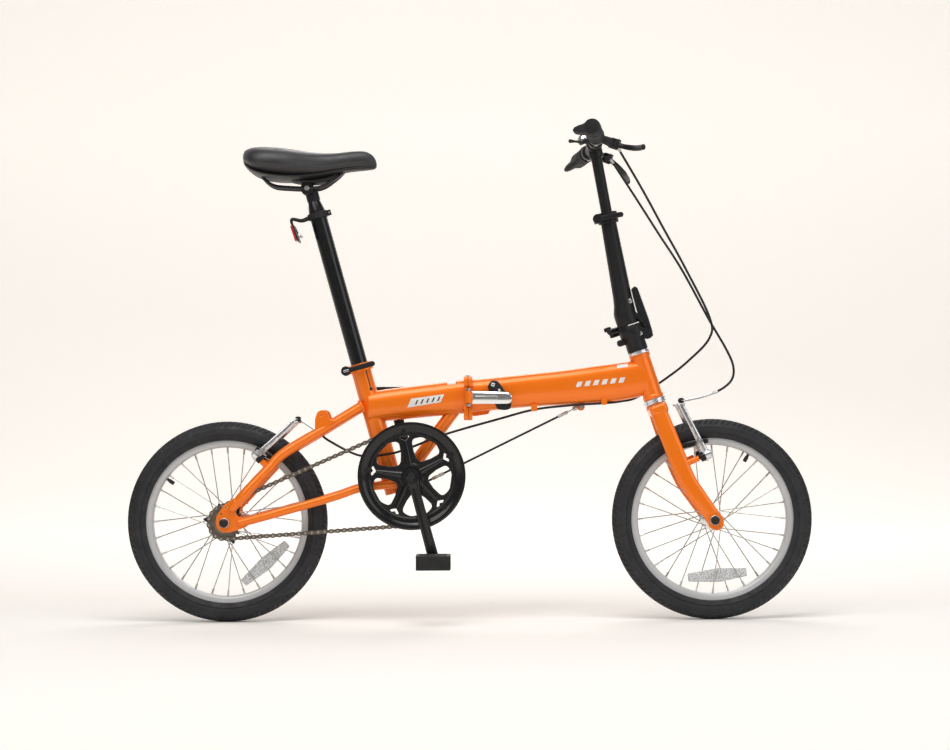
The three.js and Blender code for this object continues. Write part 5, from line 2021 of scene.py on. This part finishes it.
def decals():
    """Plain printed panels and bars, without any lettering."""
    panel = ((-123.3, 424.6), (-56.7, 435.2), (-49.6, 451.1), (-115.3, 442.5))
    marks = [slanted(-108 + 11 * k, 430.6 + 1.6 * k, 3.4, 9, 4, 0.15) for k in range(5)]
    label = ((-43.5, 470), (-26.6, 471.4), (-26.6, 478.4), (-43.5, 476.8))
    rear = [(decal(REAR_TUBE, panel), WHITE), (decal(REAR_TUBE, label), WHITE)]
    rear += [(decal(REAR_TUBE, mark, 0.5, 3, 5), BROWN) for mark in marks]
    piece("rear_tube_decals", "rear_frame", rear)
    bars = [slanted(212 + 17 * k, 463.5 + 1.6 * k, 10, 10.5, 4, 0.1) for k in range(6)]
    top_label = ((295, 501), (316.5, 503.5), (316.5, 510.5), (295, 507.8))
    front = [(decal(FRONT_TUBE, bar, 0.3, 4, 5), WHITE) for bar in bars]
    front.append((decal(FRONT_TUBE, top_label), WHITE))
    piece("front_tube_decals", "front_frame", front)


decals()


# ---------- floor, light and camera ----------
CAMERA_PLACE = at(12, -4300, 415)
CAMERA_LENS = 81.5
CAMERA_TILT = 0.99
CAMERA_ROLL = 0.32
SKY_LIGHT = 0.22
FLOOR_GLOW = 0.0
WALL_GLOW = 0.39
FAR_GLOW = 0.76
GLOW_CENTRE = (0, 2.5, 1)  # metres, as the two reaches are
BACK_REACH = (0.3, 3.2)
FAR_REACH = (4.3, 6.6)


def studio():
    """A pale floor that curves up behind the bicycle, and four soft lights."""
    curve = [
        (3200 + 1600 * math.sin(a), 1600 - 1600 * math.cos(a))
        for a in (math.pi / 2 * k / 12 for k in range(1, 13))
    ]
    back = [(-9000, 0), (3200, 0), *curve, (4800, 7000)]
    rings = [[at(x, y, z) for x in (-9000, 9000)] for y, z in back]
    vertices = [point for ring in rings for point in ring]
    faces = [(2 * i, 2 * i + 1, 2 * i + 3, 2 * i + 2) for i in range(len(rings) - 1)]
    floor = solid(vertices, faces)
    floor.name = "floor"
    paper = Shader("paper", (0.965, 0.94, 0.905), 0.9, Emission_Color=(1.0, 0.955, 0.9, 1))
    paper.tint(paper.noise(3), (0.955, 0.93, 0.893), 0.3)
    glow_with_distance(paper)
    painted(floor, paper.material)
    sky()
    soft_light("key", (-1.6, -2.6, 3.2), 2.6, 58, (1, 0.98, 0.95))
    soft_light("fill", (2.8, -2.2, 1.6), 2.4, 24, (0.97, 0.98, 1))
    soft_light("rim", (0.4, 2.4, 2.8), 2.2, 36, (1, 1, 1))
    soft_light("top", (0.2, -1.3, 3.3), 2, 46, (1, 1, 1))


def glow_with_distance(paper):
    """Makes the paper glow where the lamps don't reach.

    It brightens towards the back wall, and for the camera alone also far out on every side.
    """
    place = paper.node("ShaderNodeNewGeometry").outputs["Position"]
    split = paper.node("ShaderNodeSeparateXYZ")
    paper.link(place, split.inputs["Vector"])
    back = paper.ramp(split.outputs["Y"], FLOOR_GLOW, WALL_GLOW, *BACK_REACH)
    reach = paper.node("ShaderNodeVectorMath", operation="DISTANCE")
    paper.link(place, reach.inputs[0])
    reach.inputs[1].default_value = GLOW_CENTRE
    far = paper.ramp(reach.outputs["Value"], 0, FAR_GLOW, *FAR_REACH)
    ray = paper.node("ShaderNodeLightPath")
    seen = paper.calculate("MULTIPLY", far, ray.outputs["Is Camera Ray"])
    glow = paper.calculate("MAXIMUM", back, seen)
    paper.link(glow, paper.surface.inputs["Emission Strength"])


def sky():
    """A cream surround that the camera sees brighter than the bicycle is lit by it."""
    world = bpy.data.worlds.new("world")
    bpy.context.scene.world = world
    world.use_nodes = True
    tree = world.node_tree
    background = tree.nodes["Background"]
    background.inputs["Color"].default_value = (1.0, 0.955, 0.9, 1)
    ray = tree.nodes.new("ShaderNodeLightPath")
    strength = tree.nodes.new("ShaderNodeMapRange")
    strength.inputs["To Min"].default_value = SKY_LIGHT
    strength.inputs["To Max"].default_value = 1.0
    tree.links.new(ray.outputs["Is Camera Ray"], strength.inputs["Value"])
    tree.links.new(strength.outputs["Result"], background.inputs["Strength"])


def soft_light(name, place, size, power, color):
    data = bpy.data.lights.new(name, "AREA")
    data.size = size
    data.energy = power
    data.color = color
    light = bpy.data.objects.new(name, data)
    bpy.context.scene.collection.objects.link(light)
    light.location = place
    light.rotation_euler = (Vector((0, 0, 0.45)) - Vector(place)).to_track_quat("-Z", "Y").to_euler()


def camera():
    data = bpy.data.cameras.new("camera")
    data.lens = CAMERA_LENS
    data.sensor_width = 36
    made = bpy.data.objects.new("camera", data)
    bpy.context.scene.collection.objects.link(made)
    tilt = Matrix.Rotation(math.radians(90 + CAMERA_TILT), 4, "X")
    roll = Matrix.Rotation(math.radians(-CAMERA_ROLL), 4, "Z")
    made.matrix_world = Matrix.Translation(CAMERA_PLACE * MM) @ tilt @ roll
    bpy.context.scene.camera = made


studio()
camera()
bpy.context.scene.view_settings.view_transform = "Standard"
